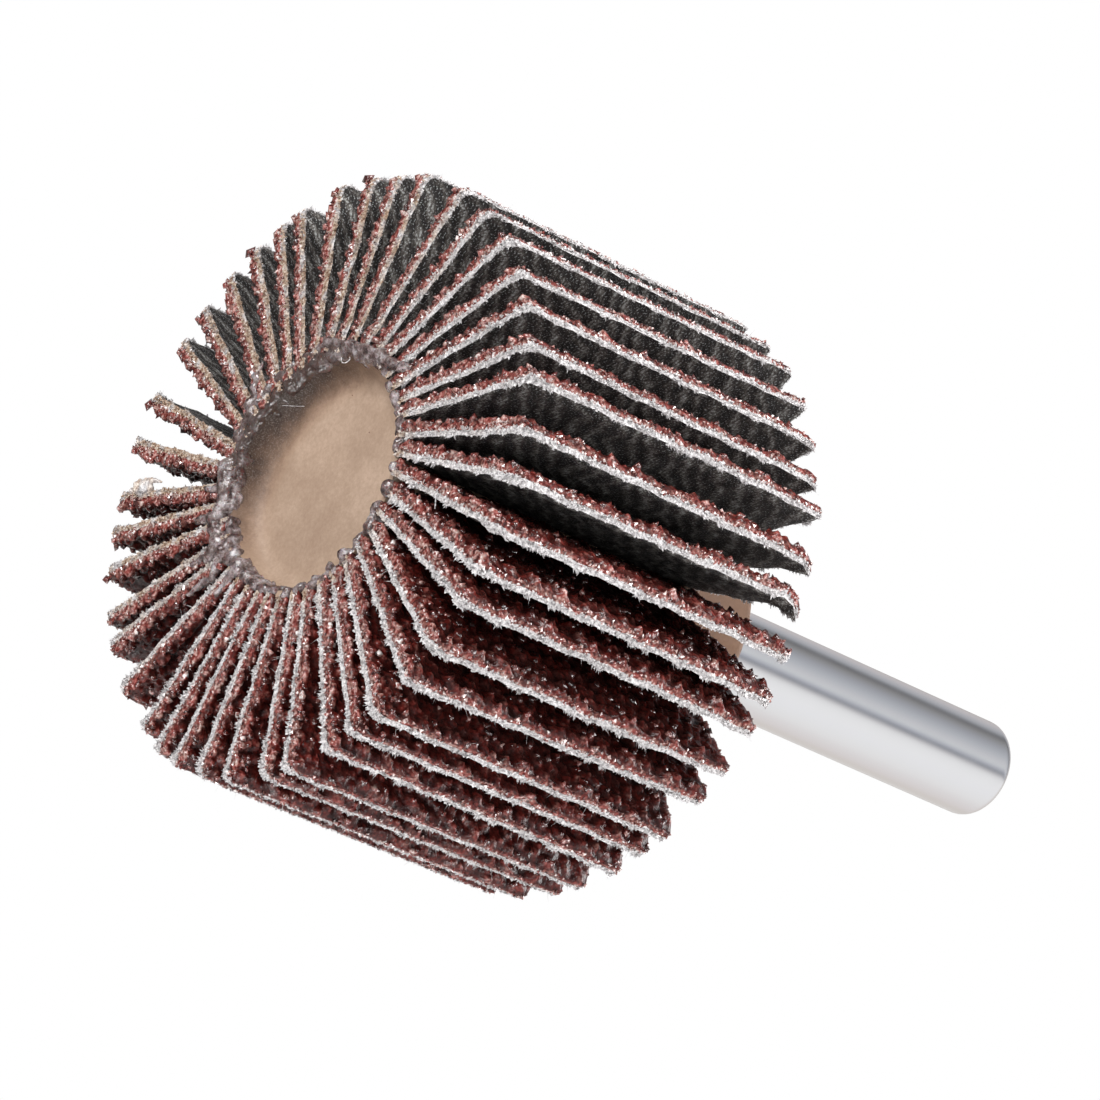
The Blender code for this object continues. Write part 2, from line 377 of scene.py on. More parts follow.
flecked = add_node(tree, "ShaderNodeMix", {
    "Factor": fleck.outputs["Result"], 6: grey.outputs["Color"], 7: linear("#4F1E1C")}, data_type="RGBA")
flat_place = add_node(tree, "ShaderNodeVectorMath", {0: place, 1: (1, 1, 0)}, operation="MULTIPLY")
radius = add_node(tree, "ShaderNodeVectorMath", {0: flat_place.outputs[0]}, operation="LENGTH")
inner = add_node(tree, "ShaderNodeMapRange", {"Value": radius.outputs["Value"], "From Min": GLUE_SHADE_RADII[0],
                                              "From Max": GLUE_SHADE_RADII[1]})
side = math.radians(SHADED_DUSTY_SIDE_DEG)
towards = add_node(tree, "ShaderNodeVectorMath", {0: place, 1: (math.cos(side), math.sin(side), 0)},
                   operation="DOT_PRODUCT")
shaded = add_node(tree, "ShaderNodeMapRange", {
    "Value": towards.outputs["Value"], "From Min": GLUE_SHADE_SIDE[0], "From Max": GLUE_SHADE_SIDE[1], "To Max": 0.85})
# Painted shade: brown on the glue nearest the recess, on its shaded side
brown = add_node(tree, "ShaderNodeMath", {0: inner.outputs["Result"], 1: shaded.outputs["Result"]},
                 operation="MULTIPLY")
browned = add_node(tree, "ShaderNodeMix", {"Factor": brown.outputs[0], 6: flecked.outputs[2],
                                           7: linear("#3D302B")}, data_type="RGBA")
tree.links.new(browned.outputs[2], shader.inputs["Base Color"])
ripples = add_node(tree, "ShaderNodeTexNoise", {"Vector": place, "Scale": 1 / (0.2 * MM), "Detail": 2.0,
                                                "Roughness": 0.5})
bump = add_node(tree, "ShaderNodeBump", {
    "Height": ripples.outputs["Fac"], "Distance": 0.06 * MM, "Strength": 0.9})
tree.links.new(bump.outputs["Normal"], shader.inputs["Normal"])
print("glue ready")

# %% [markdown]
# Down in the recess the same glue is thin and dusty: a dull fillet with the colours of the resin
# under it, its painted shade included, and pale dust on the shaded part.

# %% Glue fillet
dusty_shaded_glue, tree, shader = new_material("dusty_shaded_glue", Roughness=0.55, Specular_IOR_Level=0.4)
place = add_node(tree, "ShaderNodeTexCoord").outputs["Object"]
tan, skin, dark = resin_tan_and_shade(tree, place)
dust = add_node(tree, "ShaderNodeTexNoise", {"Vector": place, "Scale": 1 / (0.09 * MM), "Detail": 2.0})
specks = add_node(tree, "ShaderNodeMapRange", {
    "Value": dust.outputs["Fac"], "From Min": 0.5, "From Max": 0.72, "To Max": 0.3})
# The dust lies on the part darkened by painted shade
dust_on_shade = add_node(tree, "ShaderNodeMath", {0: specks.outputs["Result"], 1: dark}, operation="MULTIPLY")
dusted = add_node(tree, "ShaderNodeMix", {"Factor": dust_on_shade.outputs[0], 6: tan, 7: linear("#A89C94")},
                  data_type="RGBA")
tree.links.new(dusted.outputs[2], shader.inputs["Base Color"])
bump = add_node(tree, "ShaderNodeBump", {"Height": skin, "Distance": 0.03 * MM, "Strength": 0.7})
tree.links.new(bump.outputs["Normal"], shader.inputs["Normal"])
print("fillet ready")

# %% [markdown]
# The cloth back of each flap: a cotton dyed dark and filled with resin, worn and dusty. Seen close,
# it is a dark brown-grey, rough as felt, with pale specks where fibres break the skin, painted
# bright enough to also stand for their glints. Its threads only just show, nearly straight out from
# the root, and slanting creases a millimetre apart cross them, a little darker in their folds as
# painted shade. The pattern runs on the flap's own UV map, in millimetres on the sheet.

# %% Cloth backing
THREAD_SPACING_MM = 0.28
THREAD_TURN_DEG = -78
CREASE_SPACING_MM = 1.1
CREASE_TURN_DEG = -50
SPECK_SIZE_MM = 0.13

cloth_back, tree, shader = new_material("cloth_back", Roughness=0.75, Specular_IOR_Level=0.4)
sheet_place = add_node(tree, "ShaderNodeUVMap", uv_map="sheet_mm").outputs["UV"]
bands = []
for spacing, turn_deg, distortion, detail in (
        (THREAD_SPACING_MM, THREAD_TURN_DEG, 6.0, 3.0), (CREASE_SPACING_MM, CREASE_TURN_DEG, 9.0, 4.0)):
    turned = add_node(tree, "ShaderNodeMapping", {
        "Vector": sheet_place, "Rotation": (0, 0, math.radians(turn_deg))})
    # A wave texture repeats every 2 pi / (20 * its scale)
    wave = add_node(tree, "ShaderNodeTexWave", {
        "Vector": turned.outputs[0], "Scale": math.tau / 20 / spacing, "Distortion": distortion,
        "Detail": detail})
    bands.append(wave.outputs["Fac"])
threads, creases = bands
fuzz = add_node(tree, "ShaderNodeTexNoise", {
    "Vector": sheet_place, "Scale": 1 / SPECK_SIZE_MM / 2, "Detail": 5.0, "Roughness": 0.75})
spots = add_node(tree, "ShaderNodeTexNoise", {
    "Vector": sheet_place, "Scale": 1 / SPECK_SIZE_MM, "Detail": 2.0})
patches = add_node(tree, "ShaderNodeTexNoise", {"Vector": sheet_place, "Scale": 0.7, "Detail": 3.0})
skin = add_node(tree, "ShaderNodeMix", {"Factor": 0.08, 2: fuzz.outputs["Fac"], 3: threads})
# The creases darken the colour a little, as painted shade in the folds
folded = add_node(tree, "ShaderNodeMix", {"Factor": 0.2, 2: skin.outputs[0], 3: creases})
worn = add_node(tree, "ShaderNodeMix", {"Factor": 0.25, 2: folded.outputs[0], 3: patches.outputs["Fac"]})
grey = add_node(tree, "ShaderNodeValToRGB", {"Fac": worn.outputs[0]}, stops=(
    (0.38, "#130F0D"), (0.46, "#282220"), (0.53, "#453F3B"), (0.59, "#6E6A65"), (0.68, "#BBBCBA")))
# Pale fibres, painted bright also as painted glints
pale_fibres_and_glints = add_node(tree, "ShaderNodeMapRange", {"Value": spots.outputs["Fac"], "From Min": 0.6,
                                                    "From Max": 0.64, "To Max": 0.45})
speckled = add_node(tree, "ShaderNodeMix", {
    "Factor": pale_fibres_and_glints.outputs["Result"], 6: grey.outputs["Color"], 7: linear("#D9DDDD")},
    data_type="RGBA")
tree.links.new(speckled.outputs[2], shader.inputs["Base Color"])
bump = add_node(tree, "ShaderNodeBump", {
    "Height": folded.outputs[0], "Distance": 0.2 * MM, "Strength": 0.9})
tree.links.new(bump.outputs["Normal"], shader.inputs["Normal"])
print("cloth ready")

# %% [markdown]
# The cut edge of the cloth and its fluff: bare cotton, nearly white, matt and fibrous. Along the
# front edges the glue has crept into it, in tan and brown streaks. How much is kept in an
# attribute.

# %% Cut cotton
cut_cotton, tree, shader = new_material("cut_cotton", Roughness=0.9, Specular_IOR_Level=0.3)
soaked = add_node(tree, "ShaderNodeAttribute", attribute_name="soaked").outputs["Fac"]
place = add_node(tree, "ShaderNodeTexCoord").outputs["Object"]
threads = add_node(tree, "ShaderNodeTexNoise", {"Vector": place, "Scale": 1 / (0.2 * MM), "Detail": 3.0,
                                                "Roughness": 0.7})
streaks = add_node(tree, "ShaderNodeTexNoise", {"Vector": place, "Scale": 1 / (0.8 * MM), "Detail": 4.0})
cotton = add_node(tree, "ShaderNodeValToRGB", {"Fac": threads.outputs["Fac"]}, stops=(
    (0.34, "#7F7A79"), (0.45, "#B7B3B3"), (0.55, "#DAD7D7"), (0.65, "#F1EDEC")))
stain = add_node(tree, "ShaderNodeValToRGB", {"Fac": threads.outputs["Fac"]}, stops=(
    (0.32, "#52372B"), (0.42, "#8F6F5A"), (0.52, "#B59F8B"), (0.66, "#DFD5CA")))
uneven_soak = add_node(tree, "ShaderNodeMapRange", {"Value": streaks.outputs["Fac"], "From Min": 0.35,
                                                    "From Max": 0.62, "To Min": 0.15, "To Max": 1.25})
reach = add_node(tree, "ShaderNodeMath", {0: soaked, 1: uneven_soak.outputs["Result"]}, operation="MULTIPLY")
amount = add_node(tree, "ShaderNodeMapRange", {"Value": reach.outputs["Value"], "From Min": 0.1,
                                               "From Max": 0.7})
mixed = add_node(tree, "ShaderNodeMix", {
    "Factor": amount.outputs["Result"], 6: cotton.outputs["Color"], 7: stain.outputs["Color"]},
    data_type="RGBA")
tree.links.new(mixed.outputs[2], shader.inputs["Base Color"])
bump = add_node(tree, "ShaderNodeBump", {
    "Height": threads.outputs["Fac"], "Distance": 0.15 * MM, "Strength": 0.9})
tree.links.new(bump.outputs["Normal"], shader.inputs["Normal"])
print("cotton ready")

# %% [markdown]
# The grit side: grains of fused alumina under the size coat, a dark red-brown phenolic resin
# brushed over them wet. It lies dark and satin between the grains, partly by painted shade, and
# thin, redder and glossy over the crystals. Where the blade cut, the grains are broken open, paler
# and duller, in pink, tan and grey. Each place has its own tone, kept in an attribute, which also
# holds painted shade and light, and a fine noise mottles it.

# %% Size coat
def grit_material(name, bump_size, bump_depth, **shader_values):
    """Red-brown resin over grit, with the relief of its skin."""
    material, tree, shader = new_material(name, **shader_values)
    tone = add_node(tree, "ShaderNodeAttribute", attribute_name="tone").outputs["Fac"]
    place = add_node(tree, "ShaderNodeTexCoord").outputs["Object"]
    mottle = add_node(tree, "ShaderNodeTexNoise", {"Vector": place, "Scale": 1 / (0.24 * MM), "Detail": 2.0})
    hue = add_node(tree, "ShaderNodeTexNoise", {"Vector": place, "Scale": 1 / (0.45 * MM), "Detail": 2.0})
    spread = add_node(tree, "ShaderNodeMapRange", {"Value": mottle.outputs["Fac"], "From Min": 0.3,
                                                   "From Max": 0.7, "To Min": 0.3, "To Max": 1.8})
    level = add_node(tree, "ShaderNodeMath", {0: tone, 1: spread.outputs["Result"]}, operation="MULTIPLY")
    red = add_node(tree, "ShaderNodeValToRGB", {"Fac": level.outputs["Value"]}, stops=(
        (0.0, "#1E0605"), (0.2, "#571C17"), (0.4, "#88443E"), (0.62, "#B98880"), (0.85, "#DECDC8"),
        (1.0, "#F1EAE7")))
    stony = add_node(tree, "ShaderNodeValToRGB", {"Fac": level.outputs["Value"]}, stops=(
        (0.0, "#1C0706"), (0.2, "#4C2622"), (0.4, "#83584F"), (0.62, "#AF978F"), (0.85, "#D8CFCA"),
        (1.0, "#F0ECEA")))
    which = add_node(tree, "ShaderNodeMapRange", {
        "Value": hue.outputs["Fac"], "From Min": 0.42, "From Max": 0.6})
    mixed = add_node(tree, "ShaderNodeMix", {
        "Factor": which.outputs["Result"], 6: red.outputs["Color"], 7: stony.outputs["Color"]},
        data_type="RGBA")
    tree.links.new(mixed.outputs[2], shader.inputs["Base Color"])
    relief = add_node(tree, "ShaderNodeTexNoise", {"Vector": place, "Scale": 1 / bump_size, "Detail": 2.0})
    bump = add_node(tree, "ShaderNodeBump", {
        "Height": relief.outputs["Fac"], "Distance": bump_depth, "Strength": 0.8})
    tree.links.new(bump.outputs["Normal"], shader.inputs["Normal"])
    return material


size_coat = grit_material("size_coat", 0.22 * MM, 0.06 * MM, Roughness=0.24, Specular_IOR_Level=0.3)
sized_grit = grit_material("sized_grit", 0.17 * MM, 0.05 * MM, Roughness=0.2, IOR=1.6,
                           Coat_Weight=1.0, Coat_Roughness=0.08)
print("size coat ready")

# %% [markdown]
# One grain. Crushed alumina breaks into blocky, pointed crystals. A five-sided cone whose base
# centre is pulled down is the fewest faces that still read as one, ten, and its corners are
# pushed about. Five are enough, since each is turned and sized differently on the flap, and they
# stay this coarse because the wheel carries more than eight thousand of them.

# %% Crystal masters
CRYSTAL_COUNT = 5
CRYSTAL_UNEVEN = 0.15
# For a base one unit across: the cone's height, and how far the base's centre is pulled down
CRYSTAL_HEIGHT = 0.55
CRYSTAL_KEEL = 0.5


def triangles_of(mesh):
    """A mesh's corners and its triangles as arrays."""
    mesh.calc_loop_triangles()
    points = np.empty(len(mesh.vertices) * 3)
    mesh.vertices.foreach_get("co", points)
    corners = np.empty(len(mesh.loop_triangles) * 3, dtype=int)
    mesh.loop_triangles.foreach_get("vertices", corners)
    return points.reshape(-1, 3), corners.reshape(-1, 3)


def take_master():
    """Arrays of the object just modelled, which is then removed."""
    modelled = bpy.context.object
    arrays = triangles_of(modelled.data)
    bpy.data.objects.remove(modelled)
    return arrays


def select_where(mesh_object, chosen):
    """In object mode, selects only the corners whose place satisfies a test, ready for edit mode."""
    for part in (mesh_object.data.polygons, mesh_object.data.edges):
        part.foreach_set("select", [False] * len(part))
    for vertex in mesh_object.data.vertices:
        vertex.select = chosen(vertex.co)


crystals = []
for seed in range(CRYSTAL_COUNT):
    bpy.ops.mesh.primitive_cone_add(
        vertices=5, radius1=0.5, radius2=0.0, depth=CRYSTAL_HEIGHT, end_fill_type="TRIFAN",
        location=(0, 0, CRYSTAL_HEIGHT / 2))
    bpy.ops.object.transform_apply(location=True)
    select_where(bpy.context.object, lambda co: co.z < 0.01 and co.xy.length < 0.01)
    bpy.ops.object.mode_set(mode="EDIT")
    bpy.ops.transform.translate(value=(0, 0, -CRYSTAL_KEEL))
    bpy.ops.mesh.select_all(action="SELECT")
    bpy.ops.transform.vertex_random(offset=CRYSTAL_UNEVEN, uniform=0.9, normal=0.2, seed=seed)
    bpy.ops.mesh.normals_make_consistent(inside=False)
    bpy.ops.object.mode_set(mode="OBJECT")
    crystals.append(take_master())
print("triangles in a crystal:", [len(faces) for _, faces in crystals])

# %% [markdown]
# One spike, for the fluff of the cut edge and for the chips of broken grit beside it. Each is only
# a pixel or two wide in a picture, so a three-sided cone is enough. It stands on the origin. A chip
# is the same cone, slimmer, and sunk so that its middle lies near the origin, as it is turned at random.

# %% Spike master
CHIP_SLIMMER = 0.6
CHIP_SINK = 0.4
bpy.ops.mesh.primitive_cone_add(vertices=3, radius1=1.0, radius2=0.0, depth=1.0, location=(0, 0, 0.5))
bpy.ops.object.transform_apply(location=True)
spike = take_master()
chip = (spike[0] * (CHIP_SLIMMER, CHIP_SLIMMER, 1.0) - (0, 0, CHIP_SINK), spike[1])
print("triangles in a spike:", len(spike[1]))

# %% [markdown]
# Scattering. Thousands of copies are quicker to place as arrays than as objects: each copy is the
# master's points, scaled, turned and moved. The turns are random, or line Z up with a direction.

# %% Scatter helpers
def random_turns(uneven, count):
    """Random rotation matrices, from random unit quaternions."""
    w, x, y, z = uneven.normal(size=(4, count))
    size = np.sqrt(w * w + x * x + y * y + z * z)
    w, x, y, z = w / size, x / size, y / size, z / size
    rows = [[1 - 2 * (y * y + z * z), 2 * (x * y - w * z), 2 * (x * z + w * y)],
            [2 * (x * y + w * z), 1 - 2 * (x * x + z * z), 2 * (y * z - w * x)],
            [2 * (x * z - w * y), 2 * (y * z + w * x), 1 - 2 * (x * x + y * y)]]
    return np.array(rows).transpose(2, 0, 1)


def turns_along(directions):
    """Rotation matrices that bring Z to each direction."""
    along = directions / np.linalg.norm(directions, axis=1, keepdims=True)
    # X helps to find the side, and Y does for directions that are close to X
    helper = np.where(np.abs(along[:, :1]) < 0.8, [[1.0, 0, 0]], [[0, 1.0, 0]])
    side = np.cross(helper, along)
    side /= np.linalg.norm(side, axis=1, keepdims=True)
    return np.stack([side, np.cross(along, side), along], axis=2)


def scatter(master, places, turns, sizes):
    """All copies of a master as one array of points and one of triangles."""
    points, faces = master
    scaled = points[None, :, :] * sizes[:, None, :]
    moved = np.einsum("nij,nvj->nvi", turns, scaled) + places[:, None, :]
    offsets = np.arange(len(places))[:, None, None] * len(points)
    return moved.reshape(-1, 3), (faces[None, :, :] + offsets).reshape(-1, 3)


print("scatter helpers ready")

# %% [markdown]
# The bare sheet has two layers. The cotton cloth is nearly half a millimetre thick: a coarse grid
# is stood up on edge and extruded once. X runs outwards from the root, Z along the wheel's axis,
# and the cloth's back faces +Y.

# %% Cloth layer
SHEET_LENGTH = 11.5 * MM
CLOTH_THICKNESS = 0.4 * MM
RESIN_THICKNESS = 0.3 * MM
CLOTH_BACK_Y = 0.45 * MM
RESIN_TOP_Y = CLOTH_BACK_Y - CLOTH_THICKNESS
RESIN_FACE_Y = RESIN_TOP_Y - RESIN_THICKNESS
CLOTH_STEPS = (11, 26)


def stand_up_grid(steps, height):
    """A grid in the XZ plane at a height in Y, its normals facing the grit."""
    bpy.ops.mesh.primitive_grid_add(x_subdivisions=steps[0], y_subdivisions=steps[1], size=1.0)
    grid = bpy.context.object
    bpy.ops.object.mode_set(mode="EDIT")
    bpy.ops.mesh.select_all(action="SELECT")
    bpy.ops.transform.resize(value=(SHEET_LENGTH, FLAP_WIDTH, 1.0))
    bpy.ops.object.mode_set(mode="OBJECT")
    grid.data.transform(Matrix.Rotation(math.radians(90), 4, "X"))
    grid.data.transform(Matrix.Translation((SHEET_LENGTH / 2, height, FLAP_WIDTH / 2)))


stand_up_grid(CLOTH_STEPS, CLOTH_BACK_Y)
bpy.ops.object.mode_set(mode="EDIT")
bpy.ops.mesh.select_all(action="SELECT")
bpy.ops.mesh.extrude_region_move(TRANSFORM_OT_translate={"value": (0, -CLOTH_THICKNESS, 0)})
bpy.ops.mesh.select_all(action="SELECT")
bpy.ops.mesh.normals_make_consistent(inside=False)
bpy.ops.object.mode_set(mode="OBJECT")
cloth_points, cloth_faces = take_master()
print("cloth triangles:", len(cloth_faces))

# %% [markdown]
# The coat of resin and grit is a finer grid, because its face is raised over the grains later. Its
# back lies inside the cloth, where nobody sees it, so it is a grid of five steps to one, and the
# two rims are bridged. Because the back bends where the cloth bends, it stays inside it. Deep
# between the flaps nobody sees single grains either, so there the columns are drawn apart.

# %% Coat layer
DEEP = 5.9 * MM
DEEP_STEPS = 12
COAT_LAP = 0.05 * MM
COAT_STEPS = (40, 120)
COAT_BACK_STEPS = (8, 24)

stand_up_grid(COAT_BACK_STEPS, RESIN_TOP_Y + COAT_LAP)
coat_back = bpy.context.object
stand_up_grid(COAT_STEPS, RESIN_FACE_Y)
coat_back.select_set(True)
bpy.ops.object.join()
bpy.ops.object.mode_set(mode="EDIT")
bpy.ops.mesh.select_mode(type="EDGE")
bpy.ops.mesh.select_all(action="SELECT")
bpy.ops.mesh.region_to_loop()
bpy.ops.mesh.bridge_edge_loops()
bpy.ops.mesh.select_all(action="SELECT")
bpy.ops.mesh.normals_make_consistent(inside=False)
bpy.ops.mesh.select_mode(type="VERT")
bpy.ops.object.mode_set(mode="OBJECT")
coat_points, coat_faces = take_master()
even_column = coat_points[:, 0] / SHEET_LENGTH * COAT_STEPS[0]
coat_points[:, 0] = np.interp(even_column, (0, DEEP_STEPS, COAT_STEPS[0]), (0, DEEP, SHEET_LENGTH))
print("coat triangles:", len(coat_faces))

# %% [markdown]
# Each part of the sheet takes its own material: the cloth's back, the cut edge in the cloth, and the
# coat. The outline is then pushed about a little, since a sheared cloth has no straight edge, and
# its outer corners are worn round, the front one most.

# %% Sheet materials and unevenness
EDGE_UNEVEN = 0.06 * MM
# A point this near an edge, as a share of the sheet, is on it, and this near a layer's face, on that
ON_THE_RIM = 0.001
FACE_SLACK = 0.1 * MM
CORNER_ROUND = (0.35 * MM, 0.9 * MM)
REAR_CORNER_SHARE = 0.4
BACK, CUT, CRUST, GRIT = range(4)
cloth_depth = cloth_points[cloth_faces][:, :, 1]
cloth_kinds = np.where(cloth_depth.min(axis=1) > CLOTH_BACK_Y - FACE_SLACK, BACK, CUT)


def wear_corner(across, along, radii):
    """Brings places on the sheet in to its rounded front and rear outer corners."""
    across, along = across.copy(), along.copy()
    for at_front, radius in zip((True, False), radii):
        inward = along if at_front else FLAP_WIDTH - along
        a = radius - (SHEET_LENGTH - across)
        b = radius - inward
        far = np.hypot(a, b)
        cut = (a > 0) & (b > 0) & (far > radius)
        shrink = np.where(cut, radius / np.maximum(far, 1e-9), 1.0)
        across = np.where(cut, SHEET_LENGTH - radius + a * shrink, across)
        inward = np.where(cut, radius - b * shrink, inward)
        along = inward if at_front else FLAP_WIDTH - inward
    return across, along


def roughen(points, uneven, radii, unevenness):
    """The sheet's points with worn corners and an uneven outline."""
    rough = points.copy()
    outer = points[:, 0] > SHEET_LENGTH * (1 - ON_THE_RIM)
    front = points[:, 2] < FLAP_WIDTH * ON_THE_RIM
    rear = points[:, 2] > FLAP_WIDTH * (1 - ON_THE_RIM)
    rough[:, 0], rough[:, 2] = wear_corner(points[:, 0], points[:, 2], radii)
    rough[outer, 0] -= np.abs(uneven.normal(0, unevenness, outer.sum()))
    rough[front, 2] += np.abs(uneven.normal(0, unevenness, front.sum()))
    rough[rear, 2] -= np.abs(uneven.normal(0, unevenness, rear.sum()))
    return rough


print("cloth triangles at the back and the cut:", np.bincount(cloth_kinds))

# %% [markdown]
# Where the grains sit. The real cloth is closely coated, with a grain every 0.5 mm or so,
# never in rows: a lattice with every point pushed off its place. Each has its own height.

# %% Grain places
GRAIN_SPACING = 0.5 * MM
GRAIN_STRAY = 0.3
GRAIN_HEIGHT = 0.5 * MM
GRAIN_HEIGHT_SHARES = (0.25, 1.1)
GRAIN_REACH = 0.3 * MM
BARE_ROOT = 0.5 * MM
EDGE_MARGIN = 0.1 * MM


def grain_places(uneven):
    """Where the grains of one flap stand in X and Z, and how high."""
    columns = np.arange(BARE_ROOT, SHEET_LENGTH, GRAIN_SPACING)
    rows = np.arange(EDGE_MARGIN, FLAP_WIDTH, GRAIN_SPACING)
    across, along = (axis.ravel() for axis in np.meshgrid(columns, rows))
    across = across + uneven.normal(0, GRAIN_SPACING * GRAIN_STRAY, len(across))
    along = along + uneven.normal(0, GRAIN_SPACING * GRAIN_STRAY, len(along))
    across = np.clip(across, BARE_ROOT, SHEET_LENGTH - EDGE_MARGIN)
    along = np.clip(along, EDGE_MARGIN, FLAP_WIDTH - EDGE_MARGIN)
    return across, along, GRAIN_HEIGHT * uneven.uniform(*GRAIN_HEIGHT_SHARES, len(across))


print("grains on one flap:", len(grain_places(np.random.default_rng(1))[0]))

# %% [markdown]
# The crust. The resin lies over the grains as snow lies over stones: high and steep over each,
# and sagging between them. Each grain raises a bell, and a high power of the bells, summed and
# rooted, takes the highest of them at each place and rounds the valleys. Near the cut it is pale,
# from broken grains and from painted light, and away from it painted shade makes it nearly black.

# %% Raise the crust
CREST_POWER = 5
REACH_SHARES = (0.75, 1.25)
# The tone in the valleys, darker as painted shade, what a full grain adds, lighter on the crests as painted
# light and partly for thinner resin, how much it strays, and the tone at the hidden back
VALLEY_SHADE_TONE = 0.01
CREST_LIGHT_TONE = 0.32
TONE_STRAY = 0.03
HIDDEN_TONE = 0.45
# What is added right at the cut, and how far in that reaches
CUT_PALENESS = 0.12
CUT_PALE_REACH = 0.12 * MM
# Painted shade by the distance from the cut: the share of its tone the resin keeps far from it, what painted
# light adds near it, and how far in that reaches
FAR_FROM_CUT_SHADE = 0.55
NEAR_CUT_LIGHT = 0.6
DEPTH_SHADE_REACH = 1.3 * MM


def depth_shade(from_edge):
    """A painted shade by distance from the cut: a factor that is lighter near the cut and darker deep between
    the flaps.
    """
    return FAR_FROM_CUT_SHADE + NEAR_CUT_LIGHT * np.exp(-from_edge / DEPTH_SHADE_REACH)


def raise_crust(points, grains, uneven):
    """The coat's points with its face raised over the grains, and each point's tone."""
    across, along, height = grains
    face = points[:, 1] < RESIN_FACE_Y + FACE_SLACK
    spots = points[face]
    reach = GRAIN_REACH * uneven.uniform(*REACH_SHARES, len(across))
    far = ((spots[:, :1] - across) ** 2 + (spots[:, 2:] - along) ** 2) / reach**2
    lift = ((height * np.exp(-far)) ** CREST_POWER).sum(axis=1) ** (1 / CREST_POWER)
    raised = points.copy()
    raised[face, 1] -= lift
    from_edge = np.minimum(np.minimum(spots[:, 2], FLAP_WIDTH - spots[:, 2]), SHEET_LENGTH - spots[:, 0])
    paler = CUT_PALENESS * np.exp(-from_edge / CUT_PALE_REACH)
    tones = np.full(len(points), HIDDEN_TONE)
    # Painted shade and light: valleys darker and crests lighter, partly for the thicker resin in the valleys
    usual = VALLEY_SHADE_TONE + CREST_LIGHT_TONE * lift / GRAIN_HEIGHT + uneven.normal(0, TONE_STRAY, len(lift))
    # Painted shade deep between the flaps, and painted light near the cut
    tones[face] = np.clip(usual * depth_shade(from_edge) + paler, 0, 1)
    return raised, tones


print("points in the coat:", len(coat_points))

# %% [markdown]
# Crystals. The tallest grains stand out of the crust as sharp single crystals, and so do those
# along the edges, where the outline of the wheel is seen against the white.

# %% Crystals
EDGE_BAND = 0.35 * MM
FRONT_BAND = 2.2 * MM
GLUED_ROOT = 0.9 * MM
DEEP_LAP = 1 * MM
# A grain is tall above this share of the height. The chances of a crystal follow: on a tall grain,
# on a low one, and on any one near the front
TALL = 0.9
TALL_CHANCE = 0.9
LOW_CHANCE = 0.04
FRONT_CHANCE = 0.45
CRYSTAL_SIZES_MM = (0.42, 0.74)
CRYSTAL_LIFTS = (0.3, 0.7)
UNEQUAL_SIDES = (0.7, 1.2)
# Tones: of a crystal under resin and how much it strays, and what the cut adds and how far in
CRYSTAL_TONE = 0.17
CRYSTAL_TONE_STRAY = 0.07
LEAST_TONE = 0.02
PALE_AT_CUT = (0.0, 0.25)
PALE_REACH = 0.25 * MM
# Broken crystals near the front: the share that is palest and the share up to pink, with their tones.
# Elsewhere the draw is this much higher, so fewer are broken
PALEST_SHARE = 0.03
BROKEN_SHARE = 0.3
PALEST_TONES = (0.55, 0.8)
PINK_TONES = (0.28, 0.45)
FEWER_BROKEN = 0.22


def grow_crystals(grains, uneven):
    """The single crystals of one flap: points, triangles and each point's tone."""
    across, along, height = grains
    from_edge = np.minimum(np.minimum(along, FLAP_WIDTH - along), SHEET_LENGTH - across)
    chance = np.where(height > TALL * GRAIN_HEIGHT, TALL_CHANCE, LOW_CHANCE) * (across > DEEP - DEEP_LAP)
    chance = np.where(along < FRONT_BAND, FRONT_CHANCE, chance)
    glued = (along < FRONT_BAND) & (across < GLUED_ROOT)
    kept = ((from_edge < EDGE_BAND) | (uneven.random(len(across)) < chance)) & ~glued
    across, along, height, from_edge = across[kept], along[kept], height[kept], from_edge[kept]
    size = uneven.uniform(*CRYSTAL_SIZES_MM, len(across)) * MM
    lift = RESIN_FACE_Y - height * uneven.uniform(*CRYSTAL_LIFTS, len(across))
    places = np.stack([across, lift, along], axis=1)
    paler = np.exp(-from_edge / PALE_REACH) * uneven.uniform(*PALE_AT_CUT, len(across))
    draw = uneven.random(len(across)) + np.where(along < FRONT_BAND, 0.0, FEWER_BROKEN)
    palest = uneven.uniform(*PALEST_TONES, len(across))
    pink = uneven.uniform(*PINK_TONES, len(across))
    broken = np.select([draw < PALEST_SHARE, draw < BROKEN_SHARE], [palest, pink], 0.0)
    # Painted shade deep between the flaps, and painted light near the cut
    usual = uneven.normal(CRYSTAL_TONE, CRYSTAL_TONE_STRAY, len(across)) * depth_shade(from_edge)
    tones = np.maximum(np.clip(usual + paler, LEAST_TONE, 1), broken)
    points, faces, point_tones, first = [], [], [], 0
    kinds = uneven.integers(CRYSTAL_COUNT, size=len(across))
    for kind, master in enumerate(crystals):
        mine = kinds == kind
        sizes = size[mine, None] * uneven.uniform(*UNEQUAL_SIDES, (mine.sum(), 3))
        part, part_faces = scatter(master, places[mine], random_turns(uneven, mine.sum()), sizes)
        points.append(part)
        faces.append(part_faces + first)
        point_tones.append(np.repeat(tones[mine], len(master[0])))
        first += len(part)
    return np.concatenate(points), np.concatenate(faces), np.concatenate(point_tones)


sample = grow_crystals(grain_places(np.random.default_rng(1)), np.random.default_rng(1))
print("crystal triangles on one flap:", len(sample[1]))

# %% [markdown]
# The cut edge. Its outline runs along the front, the outer and the rear side of the sheet. One
# function turns a share of that run into a place and the direction out of the sheet, and both the
# chips of cut grit and the cotton fluff are strewn along it.

# %% Places on the cut edge
OUTLINE = np.array([SHEET_LENGTH, FLAP_WIDTH, SHEET_LENGTH])


